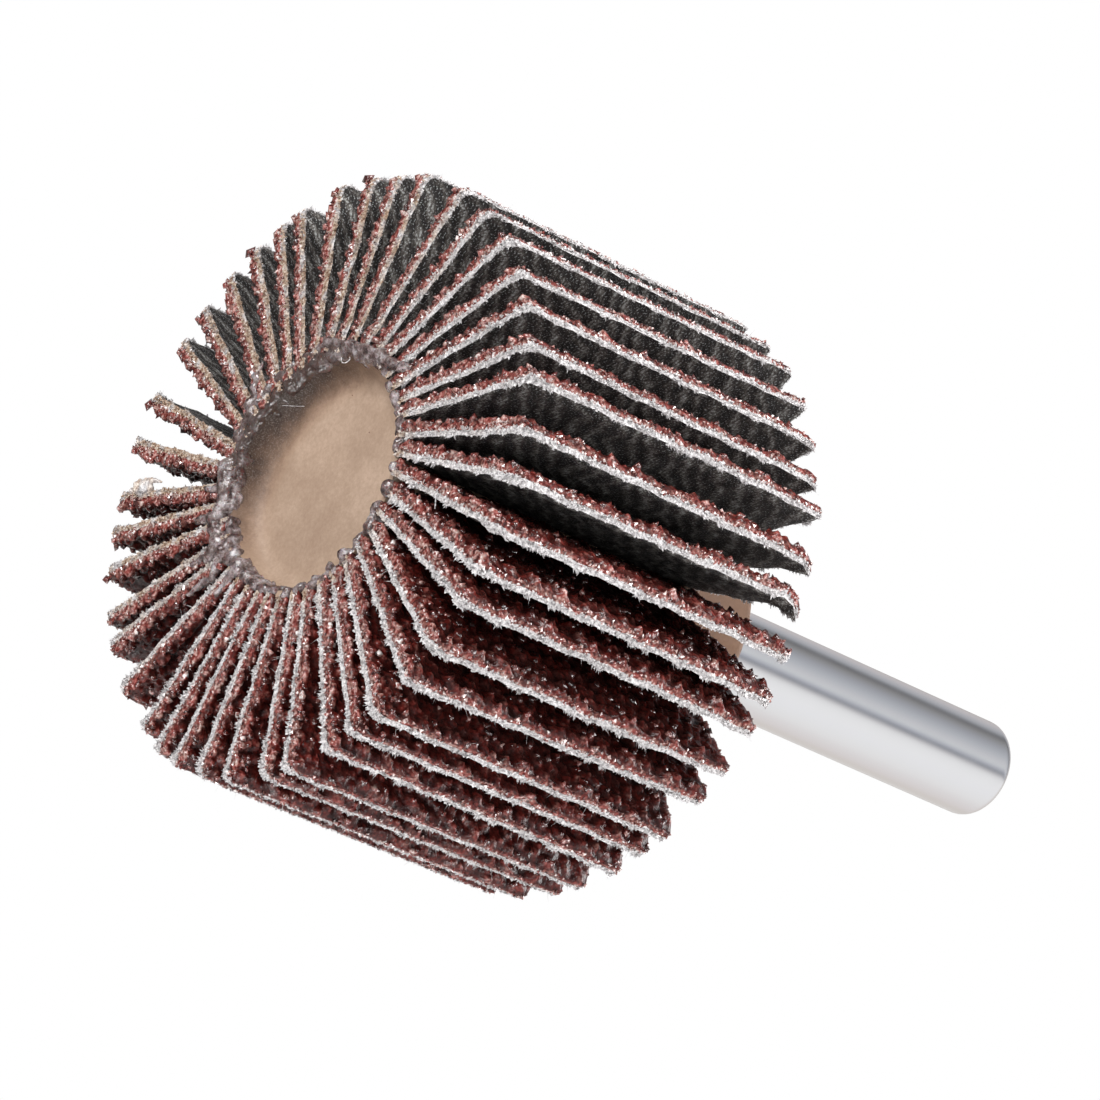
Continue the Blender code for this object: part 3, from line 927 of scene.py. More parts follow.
def on_outline(share, radii):
    """Places in X and Z on the cut outline, for shares from 0 to 1, and the way out of it."""
    run = share * OUTLINE.sum()
    front = run < OUTLINE[0]
    outer = (run >= OUTLINE[0]) & (run < OUTLINE[:2].sum())
    across = np.where(front, run, np.where(outer, SHEET_LENGTH, OUTLINE.sum() - run))
    along = np.where(front, 0.0, np.where(outer, run - OUTLINE[0], FLAP_WIDTH))
    out = np.where(front[:, None], [[0, 0, -1.0]], np.where(outer[:, None], [[1.0, 0, 0]], [[0, 0, 1.0]]))
    across, along = wear_corner(across, along, radii)
    return across, along, out


print("outline of a flap in mm:", round(OUTLINE.sum() / MM, 1))

# %% [markdown]
# Chips. The blade broke the grains along the cut, so the edge of the grit layer is a crumbly band
# of small chips: most dark red under the resin, some pink or tan, and a few nearly white.

# %% Chips
CHIPS_PER_MM = 12
CHIP_SIZE = 0.21 * MM
CHIP_SIZE_SHARES = (0.5, 1.3)
CHIP_OVERLAP = 0.08 * MM
CHIP_INSETS = (-0.02 * MM, 0.1 * MM)
# A chip is dark up to the first draw, pink up to the second, and else nearly white. The draw rises
# towards the cloth, so that more of them are pale there
DARK_UP_TO = 0.55
PINK_UP_TO = 1.02
PALER_TO_CLOTH = 0.35
DARK_CHIP_TONES = (0.1, 0.38)
PINK_CHIP_TONES = (0.36, 0.62)
WHITE_CHIP_TONES = (0.75, 1.0)


def grow_chips(uneven, radii):
    """The chips of one flap: points, triangles and each point's tone."""
    count = int(CHIPS_PER_MM * OUTLINE.sum() / MM)
    across, along, out = on_outline(uneven.random(count), radii)
    depth = uneven.uniform(RESIN_FACE_Y - CHIP_OVERLAP, RESIN_TOP_Y + CHIP_OVERLAP, count)
    size = CHIP_SIZE * uneven.uniform(*CHIP_SIZE_SHARES, count)
    inset = uneven.uniform(*CHIP_INSETS, count)
    places = np.stack([across, depth, along], axis=1) - out * inset[:, None]
    sizes = size[:, None] * uneven.uniform(*UNEQUAL_SIDES, (count, 3))
    points, faces = scatter(chip, places, random_turns(uneven, count), sizes)
    near_cloth = np.clip((depth - RESIN_FACE_Y) / RESIN_THICKNESS, 0, 1)
    draw = uneven.random(count) + PALER_TO_CLOTH * near_cloth
    dark = uneven.uniform(*DARK_CHIP_TONES, count)
    pink = uneven.uniform(*PINK_CHIP_TONES, count)
    white = uneven.uniform(*WHITE_CHIP_TONES, count)
    tones = np.select([draw < DARK_UP_TO, draw < PINK_UP_TO], [dark, pink], white)
    return points, faces, np.repeat(tones, len(chip[0]))


sample = grow_chips(np.random.default_rng(1), CORNER_ROUND)
print("chip triangles on one flap:", len(sample[1]))

# %% [markdown]
# Fluff. Crushed ends of cotton lie along the cut as granules, short thick tufts lean over the
# cloth's back and over the grit, and thin fibres stand out among them. Here and there the shears
# have pulled out a clump, and at the front outer corner the cloth has frayed into a white patch.

# %% Fluff
# Spikes per millimetre of edge, their thickness and length, and how far they lean to the back
FLUFF_KINDS = (
    (5, 0.1 * MM, 0.09 * MM, 1.0), (2, 0.085 * MM, 0.07 * MM, -1.0), (5, 0.026 * MM, 0.13 * MM, 0.6),
    (0.4, 0.02 * MM, 0.5 * MM, 0.9),
)
SPIKE_LENGTH_SHARES = (0.4, 1.4)
SPIKE_WIDTH_SHARES = (0.6, 1.3)
SPIKE_INSETS = (0.05 * MM, 0.1 * MM)
SPIKE_MARGIN = 0.04 * MM
SPIKE_LOOSE = 0.5
# Powers of a random share that crowd the spikes to the cloth's back, or to the grit
CROWD_TO_BACK = 0.5
CROWD_TO_GRIT = 3
GRANULES_PER_MM = 15
GRANULE_SIZE = 0.19 * MM
GRANULE_INSETS_MM = (-0.03, 0.08)
GRANULE_OVERLAP = 0.03 * MM
# Clumps: how many, their spikes, how far these spread and how deep, their lengths and widths, their
# lean and looseness, and how much of the stain at the front they take
CLUMPS = 12
CLUMP_SPIKES = 14
CLUMP_SPREAD = 0.14 * MM
CLUMP_DEPTHS = (-0.05 * MM, 0.15 * MM)
CLUMP_LENGTHS_MM = (0.08, 0.26)
CLUMP_WIDTHS_MM = (0.04, 0.09)
CLUMP_LEAN = 1.3
CLUMP_LOOSE = 0.6
CLUMP_STAIN = 0.6
# The frayed corner: its spikes, and how far they run from it, further up the outer side than inwards
CORNER_SPIKES = 120
CORNER_RUN_MM = 0.45
CORNER_SIDES = (-1, 1.6)
CORNER_DEPTHS = (0, 1.15)
CORNER_LENGTHS_MM = (0.06, 0.22)
CORNER_WIDTHS_MM = (0.06, 0.15)
CORNER_LEAN = 0.7
CORNER_LOOSE = 0.8
FRONT_EDGE = 0.45 * MM
FRAY_REACH = 0.65 * MM
# What the glue leaves of a spike's width and length at the root of the front edge
GLUED_WIDTH = 0.3
GLUED_LENGTH = 0.2


def spikes_at(uneven, where, depth, lengths, thick, lean_back, loose, at_front):
    """Spikes of cotton at places on the outline, leaning out and towards the cloth's back."""
    across, along, out = where
    count = len(across)
    lengths = np.where(along < FRONT_EDGE, lengths * at_front, lengths)
    glued = (along < FRONT_BAND) & (across < GLUED_ROOT)
    thick = np.where(glued, thick * GLUED_WIDTH, thick)
    lengths = np.where(glued, lengths * GLUED_LENGTH, lengths)
    lean = np.stack([uneven.normal(0, loose, count), uneven.normal(lean_back, loose, count),
                     uneven.normal(0, loose, count)], axis=1)
    inset = uneven.uniform(*SPIKE_INSETS, count)
    places = np.stack([across, depth, along], axis=1) - out * inset[:, None]
    sizes = np.stack([thick, thick, lengths + inset], axis=1)
    return scatter(spike, places, turns_along(out + lean), sizes)


def grow_fluff(uneven, radii, at_front):
    """The fluff of one flap, its spikes cut down by a factor where glue has soaked the front edge.

    Gives points, triangles and how near the front edge each point is.
    """
    points, faces, fronts, first = [], [], [], 0

    def keep(part, part_faces, front):
        nonlocal first
        points.append(part)
        faces.append(part_faces + first)
        fronts.append(np.repeat(front, len(spike[0])))
        first += len(part)

    count = int(GRANULES_PER_MM * OUTLINE.sum() / MM)
    across, along, out = on_outline(uneven.random(count), radii)
    depth = uneven.uniform(RESIN_TOP_Y - GRANULE_OVERLAP, CLOTH_BACK_Y, count)
    inset = uneven.uniform(*GRANULE_INSETS_MM, count)
    places = np.stack([across, depth, along], axis=1) - out * inset[:, None] * MM
    sizes = GRANULE_SIZE * uneven.uniform(*SPIKE_WIDTH_SHARES, (count, 1))
    sizes = sizes * uneven.uniform(*UNEQUAL_SIDES, (count, 3))
    keep(*scatter(chip, places, random_turns(uneven, count), sizes), along < FRONT_EDGE)
    for per_mm, thickness, length, lean_back in FLUFF_KINDS:
        count = int(per_mm * OUTLINE.sum() / MM)
        where = on_outline(uneven.random(count), radii)
        frayed = np.exp(-np.hypot(SHEET_LENGTH - where[0], where[1]) / FRAY_REACH)
        share = uneven.random(count) ** (CROWD_TO_BACK if lean_back > 0 else CROWD_TO_GRIT)
        depth = RESIN_TOP_Y + (CLOTH_THICKNESS - SPIKE_MARGIN) * share
        lengths = length * uneven.uniform(*SPIKE_LENGTH_SHARES, count)
        thick = thickness * uneven.uniform(*SPIKE_WIDTH_SHARES, count)
        part = spikes_at(uneven, where, depth, lengths, thick, lean_back, SPIKE_LOOSE, at_front)
        keep(*part, (where[1] < FRONT_EDGE) * (1 - frayed))
    middles = np.repeat(uneven.random(CLUMPS), CLUMP_SPIKES)
    count = len(middles)
    where = on_outline(np.clip(middles + uneven.normal(0, CLUMP_SPREAD, count) / OUTLINE.sum(), 0, 1), radii)
    depth = CLOTH_BACK_Y - uneven.uniform(*CLUMP_DEPTHS, count)
    lengths = uneven.uniform(*CLUMP_LENGTHS_MM, count) * MM
    thick = uneven.uniform(*CLUMP_WIDTHS_MM, count) * MM
    part = spikes_at(uneven, where, depth, lengths, thick, CLUMP_LEAN, CLUMP_LOOSE, at_front)
    keep(*part, (where[1] < FRONT_EDGE) * CLUMP_STAIN)
    run = uneven.exponential(CORNER_RUN_MM, CORNER_SPIKES) * uneven.choice(CORNER_SIDES, CORNER_SPIKES) * MM
    where = on_outline((OUTLINE[0] + run) / OUTLINE.sum(), radii)
    depth = RESIN_TOP_Y + CLOTH_THICKNESS * uneven.uniform(*CORNER_DEPTHS, CORNER_SPIKES)
    lengths = uneven.uniform(*CORNER_LENGTHS_MM, CORNER_SPIKES) * MM
    thick = uneven.uniform(*CORNER_WIDTHS_MM, CORNER_SPIKES) * MM
    part = spikes_at(uneven, where, depth, lengths, thick, CORNER_LEAN, CORNER_LOOSE, at_front)
    keep(*part, np.zeros(CORNER_SPIKES))
    return np.concatenate(points), np.concatenate(faces), np.concatenate(fronts)


sample = grow_fluff(np.random.default_rng(1), CORNER_ROUND, 1.0)
print("fluff triangles on one flap:", len(sample[1]))

# %% [markdown]
# A finished master flap is the cloth, the coat, its crystals, chips and fluff in one mesh. Its UV
# map and its two attributes are written from the same arrays. Ten different masters are made,
# because forty-two flaps from one master would show the same grains side by side. On four of them
# the front edge is soaked with glue, which has laid its fluff flat.

# %% Master flaps
FLUFFY_MASTERS = 6
SOAKED_MASTERS = 4
SOAKED_FLUFF = 0.35
WAVE_LENGTHS = (2.7 * MM, 4.9 * MM)
WAVE_HEIGHT = 0.04 * MM
WAVE_AT_ROOT = 0.35
CLOTH_FRONT = 0.3 * MM
FLAP_MATERIALS = (cloth_back, cut_cotton, size_coat, sized_grit)


def write_mesh(name, points, faces, kinds, smooth, tones, fronts):
    """A mesh from arrays, with the sheet's UV map in millimetres and the two attributes."""
    mesh = bpy.data.meshes.new(name)
    mesh.from_pydata(points.tolist(), [], faces.tolist())
    for material in FLAP_MATERIALS:
        mesh.materials.append(material)
    mesh.polygons.foreach_set("material_index", kinds.astype(np.int32))
    mesh.polygons.foreach_set("use_smooth", smooth)
    for attribute, values in (("tone", tones), ("soaked", fronts)):
        layer = mesh.attributes.new(attribute, "FLOAT", "POINT")
        layer.data.foreach_set("value", values.astype(np.float32))
    uv_layer = mesh.uv_layers.new(name="sheet_mm")
    spots = points[faces.ravel()][:, [0, 2]] / MM
    uv_layer.data.foreach_set("uv", spots.astype(np.float32).ravel())
    return mesh


def wobble(points, uneven):
    """A slow waviness through the whole sheet, stronger towards the tip."""
    waves = np.zeros(len(points))
    for length in WAVE_LENGTHS:
        turns = points[:, [0, 2]] / length * math.tau + uneven.uniform(0, math.tau, 2)
        waves += np.sin(turns[:, 0]) + np.sin(turns[:, 1])
    growth = WAVE_AT_ROOT + (1 - WAVE_AT_ROOT) * points[:, 0] / SHEET_LENGTH
    points[:, 1] += waves * WAVE_HEIGHT * growth


def master_flap(seed, at_front):
    """One coated flap, almost flat, with its root edge on the Z axis."""
    uneven = np.random.default_rng(seed)
    radii = uneven.uniform(*CORNER_ROUND, 2) * (1, REAR_CORNER_SHARE)
    grains = grain_places(uneven)
    crust, crust_tones = raise_crust(coat_points, grains, uneven)
    crust = roughen(crust, uneven, radii, EDGE_UNEVEN / 2)
    cloth = roughen(cloth_points, uneven, radii, EDGE_UNEVEN)
    crystal_points, crystal_faces, crystal_tones = grow_crystals(grains, uneven)
    chips, chip_faces, chip_tones = grow_chips(uneven, radii)
    fluff, fluff_faces, fluff_fronts = grow_fluff(uneven, radii, at_front)
    parts = (cloth, crust, crystal_points, chips, fluff)
    part_faces = (cloth_faces, coat_faces, crystal_faces, chip_faces, fluff_faces)
    firsts = np.cumsum([0] + [len(part) for part in parts[:-1]])
    points = np.concatenate(parts)
    wobble(points, uneven)
    faces = np.concatenate([triangles + first for triangles, first in zip(part_faces, firsts)])
    counts = [len(triangles) for triangles in part_faces[1:]]
    kinds = np.concatenate([cloth_kinds, np.repeat([CRUST, GRIT, GRIT, CUT], counts)])
    smooth = np.concatenate([np.zeros(len(cloth_faces), bool), np.repeat([True, True, False, False], counts)])
    tones = np.concatenate([
        np.zeros(len(cloth)), crust_tones, crystal_tones, chip_tones, np.zeros(len(fluff))])
    fronts = np.zeros(len(points))
    fronts[:len(cloth)] = cloth[:, 2] < CLOTH_FRONT
    fronts[firsts[-1]:] = fluff_fronts
    return write_mesh(f"master_{seed}", points, faces, kinds, smooth, tones, fronts)


masters = [master_flap(seed, 1.0) for seed in range(FLUFFY_MASTERS)]
masters += [master_flap(seed + FLUFFY_MASTERS, SOAKED_FLUFF) for seed in range(SOAKED_MASTERS)]
print("triangles in a master flap:", len(masters[0].polygons))

# %% [markdown]
# Every CAD flap leans and bends in its own way. A smooth surface through the middle of its
# points gives the bend: the flap's outward direction in plan, and its sideways offset as a short
# polynomial of the distance out and the place along the width. The master is laid on that. A few
# flaps were caught at their rear outer corner, which curls over like a hook.

# %% The bend of a CAD flap
CORNER_HOOKS = {"flap_08": 0.8 * MM, "flap_09": 1.1 * MM, "flap_06": 0.35 * MM, "flap_05": 0.3 * MM}
HOOK_SHORTENS = 0.3
# Where a hook begins and how long it is, as shares of the flap outwards and along, and its most bend
HOOK_OUT = (0.75, 0.25)
HOOK_ALONG = (0.93, 0.07)
HOOK_MOST = 1.1
# The share of a flap's points that count as its root, and as its tip
END_SHARE = 0.1


def bend_terms(out, along):
    """The shapes that a flap's bend is made of, for shares of its length and width from 0 to 1."""
    return np.stack([np.ones_like(out), out, out**2, out**2 * along, out**4 * along**6], axis=-1)


def read_bend(node_name):
    """Start, outward direction, sideways direction, length and bend of a CAD flap."""
    points, _ = triangles_of(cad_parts[node_name].data)
    plan = points[:, :2]
    far = np.linalg.norm(plan, axis=1)
    inner = plan[far < np.quantile(far, END_SHARE)].mean(axis=0)
    outer = plan[far > np.quantile(far, 1 - END_SHARE)].mean(axis=0)
    outward = (outer - inner) / np.linalg.norm(outer - inner)
    sideways = np.array([-outward[1], outward[0]])
    reach = plan @ outward
    start, length = reach.min(), reach.max() - reach.min()
    terms = bend_terms((reach - start) / length, points[:, 2] / FLAP_WIDTH)
    shape, *_ = np.linalg.lstsq(terms, plan @ sideways, rcond=None)
    return start, outward, sideways, length, shape


def lay_on(mesh, bend, hook):
    """Bends a copy of a flat master onto a CAD flap, and gives each point's distance from the root."""
    start, outward, sideways, length, shape = bend
    flat = np.empty(len(mesh.vertices) * 3)
    mesh.vertices.foreach_get("co", flat)
    flat = flat.reshape(-1, 3)
    out = flat[:, 0] / SHEET_LENGTH
    along = flat[:, 2] / FLAP_WIDTH
    curled = np.clip((out - HOOK_OUT[0]) / HOOK_OUT[1], 0, HOOK_MOST)
    curled = curled * np.clip((along - HOOK_ALONG[0]) / HOOK_ALONG[1], 0, HOOK_MOST) ** 2
    offset = bend_terms(np.clip(out, 0, 1), np.clip(along, 0, 1)) @ shape + flat[:, 1] + hook * curled
    plan = outward * (start + out * length)[:, None] + sideways * offset[:, None]
    bent = np.column_stack([plan, flat[:, 2] - HOOK_SHORTENS * hook * curled])
    mesh.vertices.foreach_set("co", bent.astype(np.float32).ravel())
    mesh.update()
    return flat[:, 0]


bends = {name: read_bend(name) for name in FLAP_NODES}
print("flap lengths in mm:", sorted({round(bend[3] / MM, 1) for bend in bends.values()}))

# %% [markdown]
# The flaps are laid one by one. On one side of the wheel the glue has crept into the front edges
# and stained them tan, so the stain is scaled by where the flap stands round the wheel. Close to
# the root every front edge is soaked.

# %% Lay the flaps
STAIN_MIDDLE_DEG = 295
STAIN_LEAST = 0.15
STAIN_FALL = 0.7
SOAKED_ROOT = 1.2 * MM
SOAKED_FROM = 0.5


def stain_of(bend):
    """How strongly the front edge of a flap is stained, from 0 to 1."""
    outward = bend[1]
    away = math.atan2(outward[1], outward[0]) - math.radians(STAIN_MIDDLE_DEG)
    return STAIN_LEAST + (1 - STAIN_LEAST) * max(0.0, math.cos(away)) ** STAIN_FALL


for number, node_name in enumerate(FLAP_NODES):
    soaked_front = stain_of(bends[node_name]) > SOAKED_FROM
    kind = FLUFFY_MASTERS + number % SOAKED_MASTERS if soaked_front else number * 5 % FLUFFY_MASTERS
    mesh = masters[kind].copy()
    stain = np.empty(len(mesh.vertices), dtype=np.float32)
    mesh.attributes["soaked"].data.foreach_get("value", stain)
    from_root = lay_on(mesh, bends[node_name], CORNER_HOOKS.get(node_name, 0.0))
    strength = np.maximum(stain_of(bends[node_name]), np.exp(-from_root / SOAKED_ROOT))
    mesh.attributes["soaked"].data.foreach_set("value", (stain * strength).astype(np.float32))
    flap = bpy.data.objects.new(f"coated_{node_name}", mesh)
    bpy.context.scene.collection.objects.link(flap)
    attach(flap, "root")
    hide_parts(node_name)
for mesh in masters:
    bpy.data.meshes.remove(mesh)
print("flaps laid:", len(FLAP_NODES))

# %% [markdown]
# Three rings of resin, each of one section all round: a circle is drawn, and its edge is extruded
# and resized from point to point of the section until it closes. One is the fillet that lines the
# recess; it leaves the core's face almost level. The next fills the corner between the flaps' rear
# edges and the collar, where the real flaps are bedded in resin too. The last is the low meniscus
# where the cast resin has crept up the shank.

# %% Glue rings
RECESS = CORE_FACE
# Radius and height of the section's corners, from where it runs out on the face, round the hollow
FILLET_SECTION = (
    (5.3 * MM, RECESS + 0.1 * MM), (5.3 * MM, RECESS - 0.002 * MM), (5.55 * MM, RECESS - 0.004 * MM),
    (5.85 * MM, RECESS - 0.02 * MM), (6.15 * MM, RECESS - 0.075 * MM), (6.45 * MM, RECESS - 0.21 * MM),
    (6.75 * MM, RECESS - 0.48 * MM), (6.98 * MM, RECESS - 0.85 * MM), (7.15 * MM, RECESS - 1.35 * MM),
    (7.3 * MM, 0.25 * MM), (7.7 * MM, 0.2 * MM), (7.7 * MM, RECESS + 0.4 * MM), (5.3 * MM, RECESS + 0.1 * MM),
)
REAR_SECTION = (
    (7.1 * MM, 22.9 * MM), (8.3 * MM, 22.9 * MM), (8.35 * MM, 23.45 * MM), (8.0 * MM, 23.62 * MM),
    (7.65 * MM, 23.85 * MM), (7.4 * MM, 24.2 * MM), (7.24 * MM, 24.7 * MM), (7.18 * MM, 25.2 * MM),
    (7.1 * MM, 25.2 * MM), (7.1 * MM, 22.9 * MM),
)
SEAL_SECTION = (
    (3.16 * MM, 29.5 * MM), (3.7 * MM, 29.5 * MM), (3.7 * MM, 29.81 * MM), (3.5 * MM, 29.83 * MM),
    (3.3 * MM, 29.92 * MM), (3.19 * MM, 30.05 * MM), (3.16 * MM, 30.05 * MM), (3.16 * MM, 29.5 * MM),
)
SHARP_TURN_DEG = 50
WELD_DISTANCE = 0.001 * MM


def ring(name, section, corners):
    """A ring of one closed section of radii and heights, with shaded edges where it turns sharply."""
    bpy.ops.mesh.primitive_circle_add(vertices=corners, radius=section[0][0], location=(0, 0, section[0][1]))
    turned = bpy.context.object
    turned.name = name
    bpy.ops.object.transform_apply(location=True)
    bpy.ops.object.mode_set(mode="EDIT")
    bpy.ops.mesh.select_all(action="SELECT")
    for (radius, height), (next_radius, next_height) in zip(section, section[1:]):
        bpy.ops.mesh.extrude_edges_move(TRANSFORM_OT_translate={"value": (0, 0, next_height - height)})
        growth = next_radius / radius
        bpy.ops.transform.resize(value=(growth, growth, 1), center_override=(0, 0, next_height))
    bpy.ops.mesh.select_all(action="SELECT")
    bpy.ops.mesh.remove_doubles(threshold=WELD_DISTANCE)
    bpy.ops.mesh.normals_make_consistent(inside=False)
    bpy.ops.object.mode_set(mode="OBJECT")
    bpy.ops.object.shade_smooth_by_angle(angle=math.radians(SHARP_TURN_DEG))
    turned.data.materials.append(dusty_shaded_glue)
    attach(turned, "root")
    return turned


fillet = ring("glue_fillet", FILLET_SECTION, corners=96)
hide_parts("glue_bead")
rear_fillet = ring("rear_glue_fillet", REAR_SECTION, corners=72)
seal = ring("resin_meniscus", SEAL_SECTION, corners=64)
print("ring triangles:", [len(triangles_of(piece.data)[1]) for piece in (fillet, rear_fillet, seal)])

# %% [markdown]
# The glue on the roots ran and set in drops, so it is built from balls, as from drops: one on
# each flap's root, and chains of them for the lip and the runs between flaps. A voxel remesh melts
# them together, a smooth modifier rounds the seams, and a displace modifier makes the skin lumpy.

# %% Drops and runs of glue
# Chains of glue: radius, angle in degrees, height and ball radius of each bead, all but angles in mm
GLUE_CHAINS = (
    # the thick lip at the top of the picture
    ((8.5, 331, 0.0, 0.3), (7.9, 345, 0.0, 0.36), (7.9, 360, 0.05, 0.4), (8.15, 374, 0.05, 0.42),
     (8.4, 384, 0.05, 0.38), (8.8, 389, 0.1, 0.32), (9.3, 391, 0.15, 0.24)),
    ((7.7, 340, 0.5, 0.4), (7.65, 355, 0.5, 0.42), (7.75, 370, 0.5, 0.42), (7.8, 385, 0.5, 0.4)),
    # the soft ridge to its left, set deeper, with webs between the flaps
    ((7.6, 336, 0.5, 0.5), (7.55, 326, 0.55, 0.56), (7.5, 316, 0.5, 0.48), (7.6, 306, 0.55, 0.58),
     (7.6, 296, 0.5, 0.46), (7.75, 284, 0.42, 0.54), (7.9, 272, 0.38, 0.44), (8.1, 262, 0.3, 0.46)),
    ((8.4, 330, 0.25, 0.26), (8.35, 321, 0.2, 0.34), (8.4, 312, 0.3, 0.24), (8.4, 303, 0.2, 0.34),
     (8.5, 295, 0.25, 0.28), (8.6, 286, 0.15, 0.38), (8.5, 277, 0.2, 0.3), (8.7, 268, 0.1, 0.42)),
    # a strand that climbs the edge of one flap
    ((8.4, 275, 0.2, 0.34), (9.2, 284.6, 0.1, 0.3), (10.0, 292.3, 0.1, 0.26), (10.6, 296.5, 0.1, 0.18)),
    # the heap at the left and lower left
    ((8.2, 262, 0.25, 0.4), (8.7, 257, 0.15, 0.55), (8.2, 250, 0.2, 0.46), (8.1, 240, 0.15, 0.5),
     (8.8, 235, 0.15, 0.6), (8.6, 226, 0.15, 0.56), (8.2, 219, 0.15, 0.46), (7.6, 208, 0.2, 0.42),
     (7.55, 199, 0.2, 0.36), (7.5, 190, 0.2, 0.32), (7.45, 180, 0.25, 0.3)),
    ((7.7, 262, 0.5, 0.46), (7.6, 245, 0.5, 0.46), (7.6, 228, 0.5, 0.46), (7.5, 212, 0.5, 0.44)),
    ((8.6, 226, 0.15, 0.5), (9.3, 220, 0.1, 0.46), (10.0, 222, 0.05, 0.34), (10.9, 222, 0.05, 0.24)),
    # the forked strands below it
    ((8.2, 218.7, 0.1, 0.42), (8.9, 213, 0.05, 0.34), (9.5, 210.6, 0.05, 0.3), (10.5, 212.5, 0.0, 0.24),
     (11.8, 213.5, 0.0, 0.15)),
    ((7.7, 204, 0.15, 0.36), (8.5, 203, 0.05, 0.28), (9.3, 202, 0.0, 0.22), (10.2, 202.5, 0.0, 0.14)),
    ((8.8, 236, 0.15, 0.42), (9.8, 238, 0.05, 0.32), (10.7, 239, 0.0, 0.2)),
    ((8.6, 248, 0.15, 0.4), (9.6, 249, 0.05, 0.3), (10.3, 250, 0.0, 0.18)),
    # the thin rim along the lower left of the recess
    ((7.15, 206, 0.7, 0.22), (7.0, 189, 0.7, 0.2), (7.05, 168, 0.65, 0.18), (7.15, 150, 0.6, 0.18)),
)
# Single drops on the roots at the right: radius, angle, height and ball radius
GLUE_DROPS = (
    (8.8, 27, 0.2, 0.46), (7.6, 37, 0.25, 0.5), (7.5, 44, 0.4, 0.36), (7.75, 51, 0.2, 0.44),
    (7.65, 62, 0.2, 0.44), (7.6, 73, 0.2, 0.46), (7.75, 82.2, 0.15, 0.55), (7.2, 92.3, 0.3, 0.42),
    (7.65, 101.6, 0.2, 0.44), (7.55, 110.2, 0.2, 0.42), (7.2, 119.6, 0.2, 0.5), (6.95, 131, 0.4, 0.36),
    (7.25, 140, 0.3, 0.36), (7.3, 150, 0.3, 0.34), (7.35, 160, 0.25, 0.34), (7.35, 170, 0.25, 0.34),
)
# The radius of a drop on a root, and the height in mm and the relative size of the two on each root
ROOT_DROP = 0.46 * MM
ROOT_DROPS = ((0.28, 0.95), (0.9, 1.05))
ROOT_INSETS_MM = (-0.15, 0.15)
ROOT_STRAY_MM = 0.1
ROOT_SIZE_SHARES = (0.85, 1.1)
# The beads of a chain: their spacing, sizes, and how far they stray from its line, and up or down
BEAD_SPACING_MM = 0.28
BEAD_SIZE_SHARES = (0.7, 1.15)
BEAD_STRAY_MM = 0.06
BEAD_STRAY_UP_MM = 0.05
# The share of the beads with a small blob on their side, and the sizes of these blobs
BLOB_SHARE = 0.8
BLOB_SIZES_MM = (0.12, 0.2)
# How far below the front edges of the flaps the glue may reach
GLUE_PROUD_MM = 0.4
SQUASH = (0.85, 1.15)


def add_drop(uneven, place, radius):
    """One ball of glue, a little squashed."""
    squash = uneven.uniform(*SQUASH, 3)
    bpy.ops.mesh.primitive_ico_sphere_add(subdivisions=2, radius=radius, location=place, scale=squash)
    return bpy.context.object


def around(radius, angle_deg, height):
    """A point at a radius, an angle round the axis and a height, in millimetres and degrees."""
    angle = math.radians(angle_deg)
    return Vector((radius * math.cos(angle), radius * math.sin(angle), height)) * MM


uneven = np.random.default_rng(4)
drops = []
for name in FLAP_NODES:
    start, outward, sideways, _, shape = bends[name]
    for height, size in ROOT_DROPS:
        inset = uneven.uniform(*ROOT_INSETS_MM) * MM
        root = outward * (start - inset) + sideways * (shape[0] + uneven.normal(0, ROOT_STRAY_MM) * MM)
        radius = ROOT_DROP * size * uneven.uniform(*ROOT_SIZE_SHARES)
        drops.append(add_drop(uneven, (*root, height * MM), radius))
for chain in GLUE_CHAINS:
    for (r0, a0, z0, b0), (r1, a1, z1, b1) in zip(chain, chain[1:]):
        length = math.hypot(r1 - r0, math.radians(a1 - a0) * r0)
        for step in np.arange(0, 1, BEAD_SPACING_MM / max(length, BEAD_SPACING_MM)):
            ball = (b0 + (b1 - b0) * step) * uneven.uniform(*BEAD_SIZE_SHARES)
            radius = r0 + (r1 - r0) * step + uneven.normal(0, BEAD_STRAY_MM)
            height = z0 + (z1 - z0) * step + uneven.normal(0, BEAD_STRAY_UP_MM)
            spot = around(radius, a0 + (a1 - a0) * step, max(ball - GLUE_PROUD_MM, height))
            drops.append(add_drop(uneven, spot, ball * MM))
            if uneven.random() < BLOB_SHARE:
                side_step = Vector(uneven.normal(0, 1, 3)).normalized() * ball * MM
                drops.append(add_drop(uneven, spot + side_step, uneven.uniform(*BLOB_SIZES_MM) * MM))
for radius, angle, height, ball in GLUE_DROPS:
    drops.append(add_drop(uneven, around(radius, angle, height), ball * MM))
print("balls of glue:", len(drops))

# %% [markdown]
# The balls are joined and melted together. The voxel is about a seventh of a millimetre, fine
# enough for the thinnest strand.

# %% Melt the glue
VOXEL = 0.15 * MM
LUMP_SIZE = 0.4 * MM
LUMP_HEIGHT = 0.22 * MM


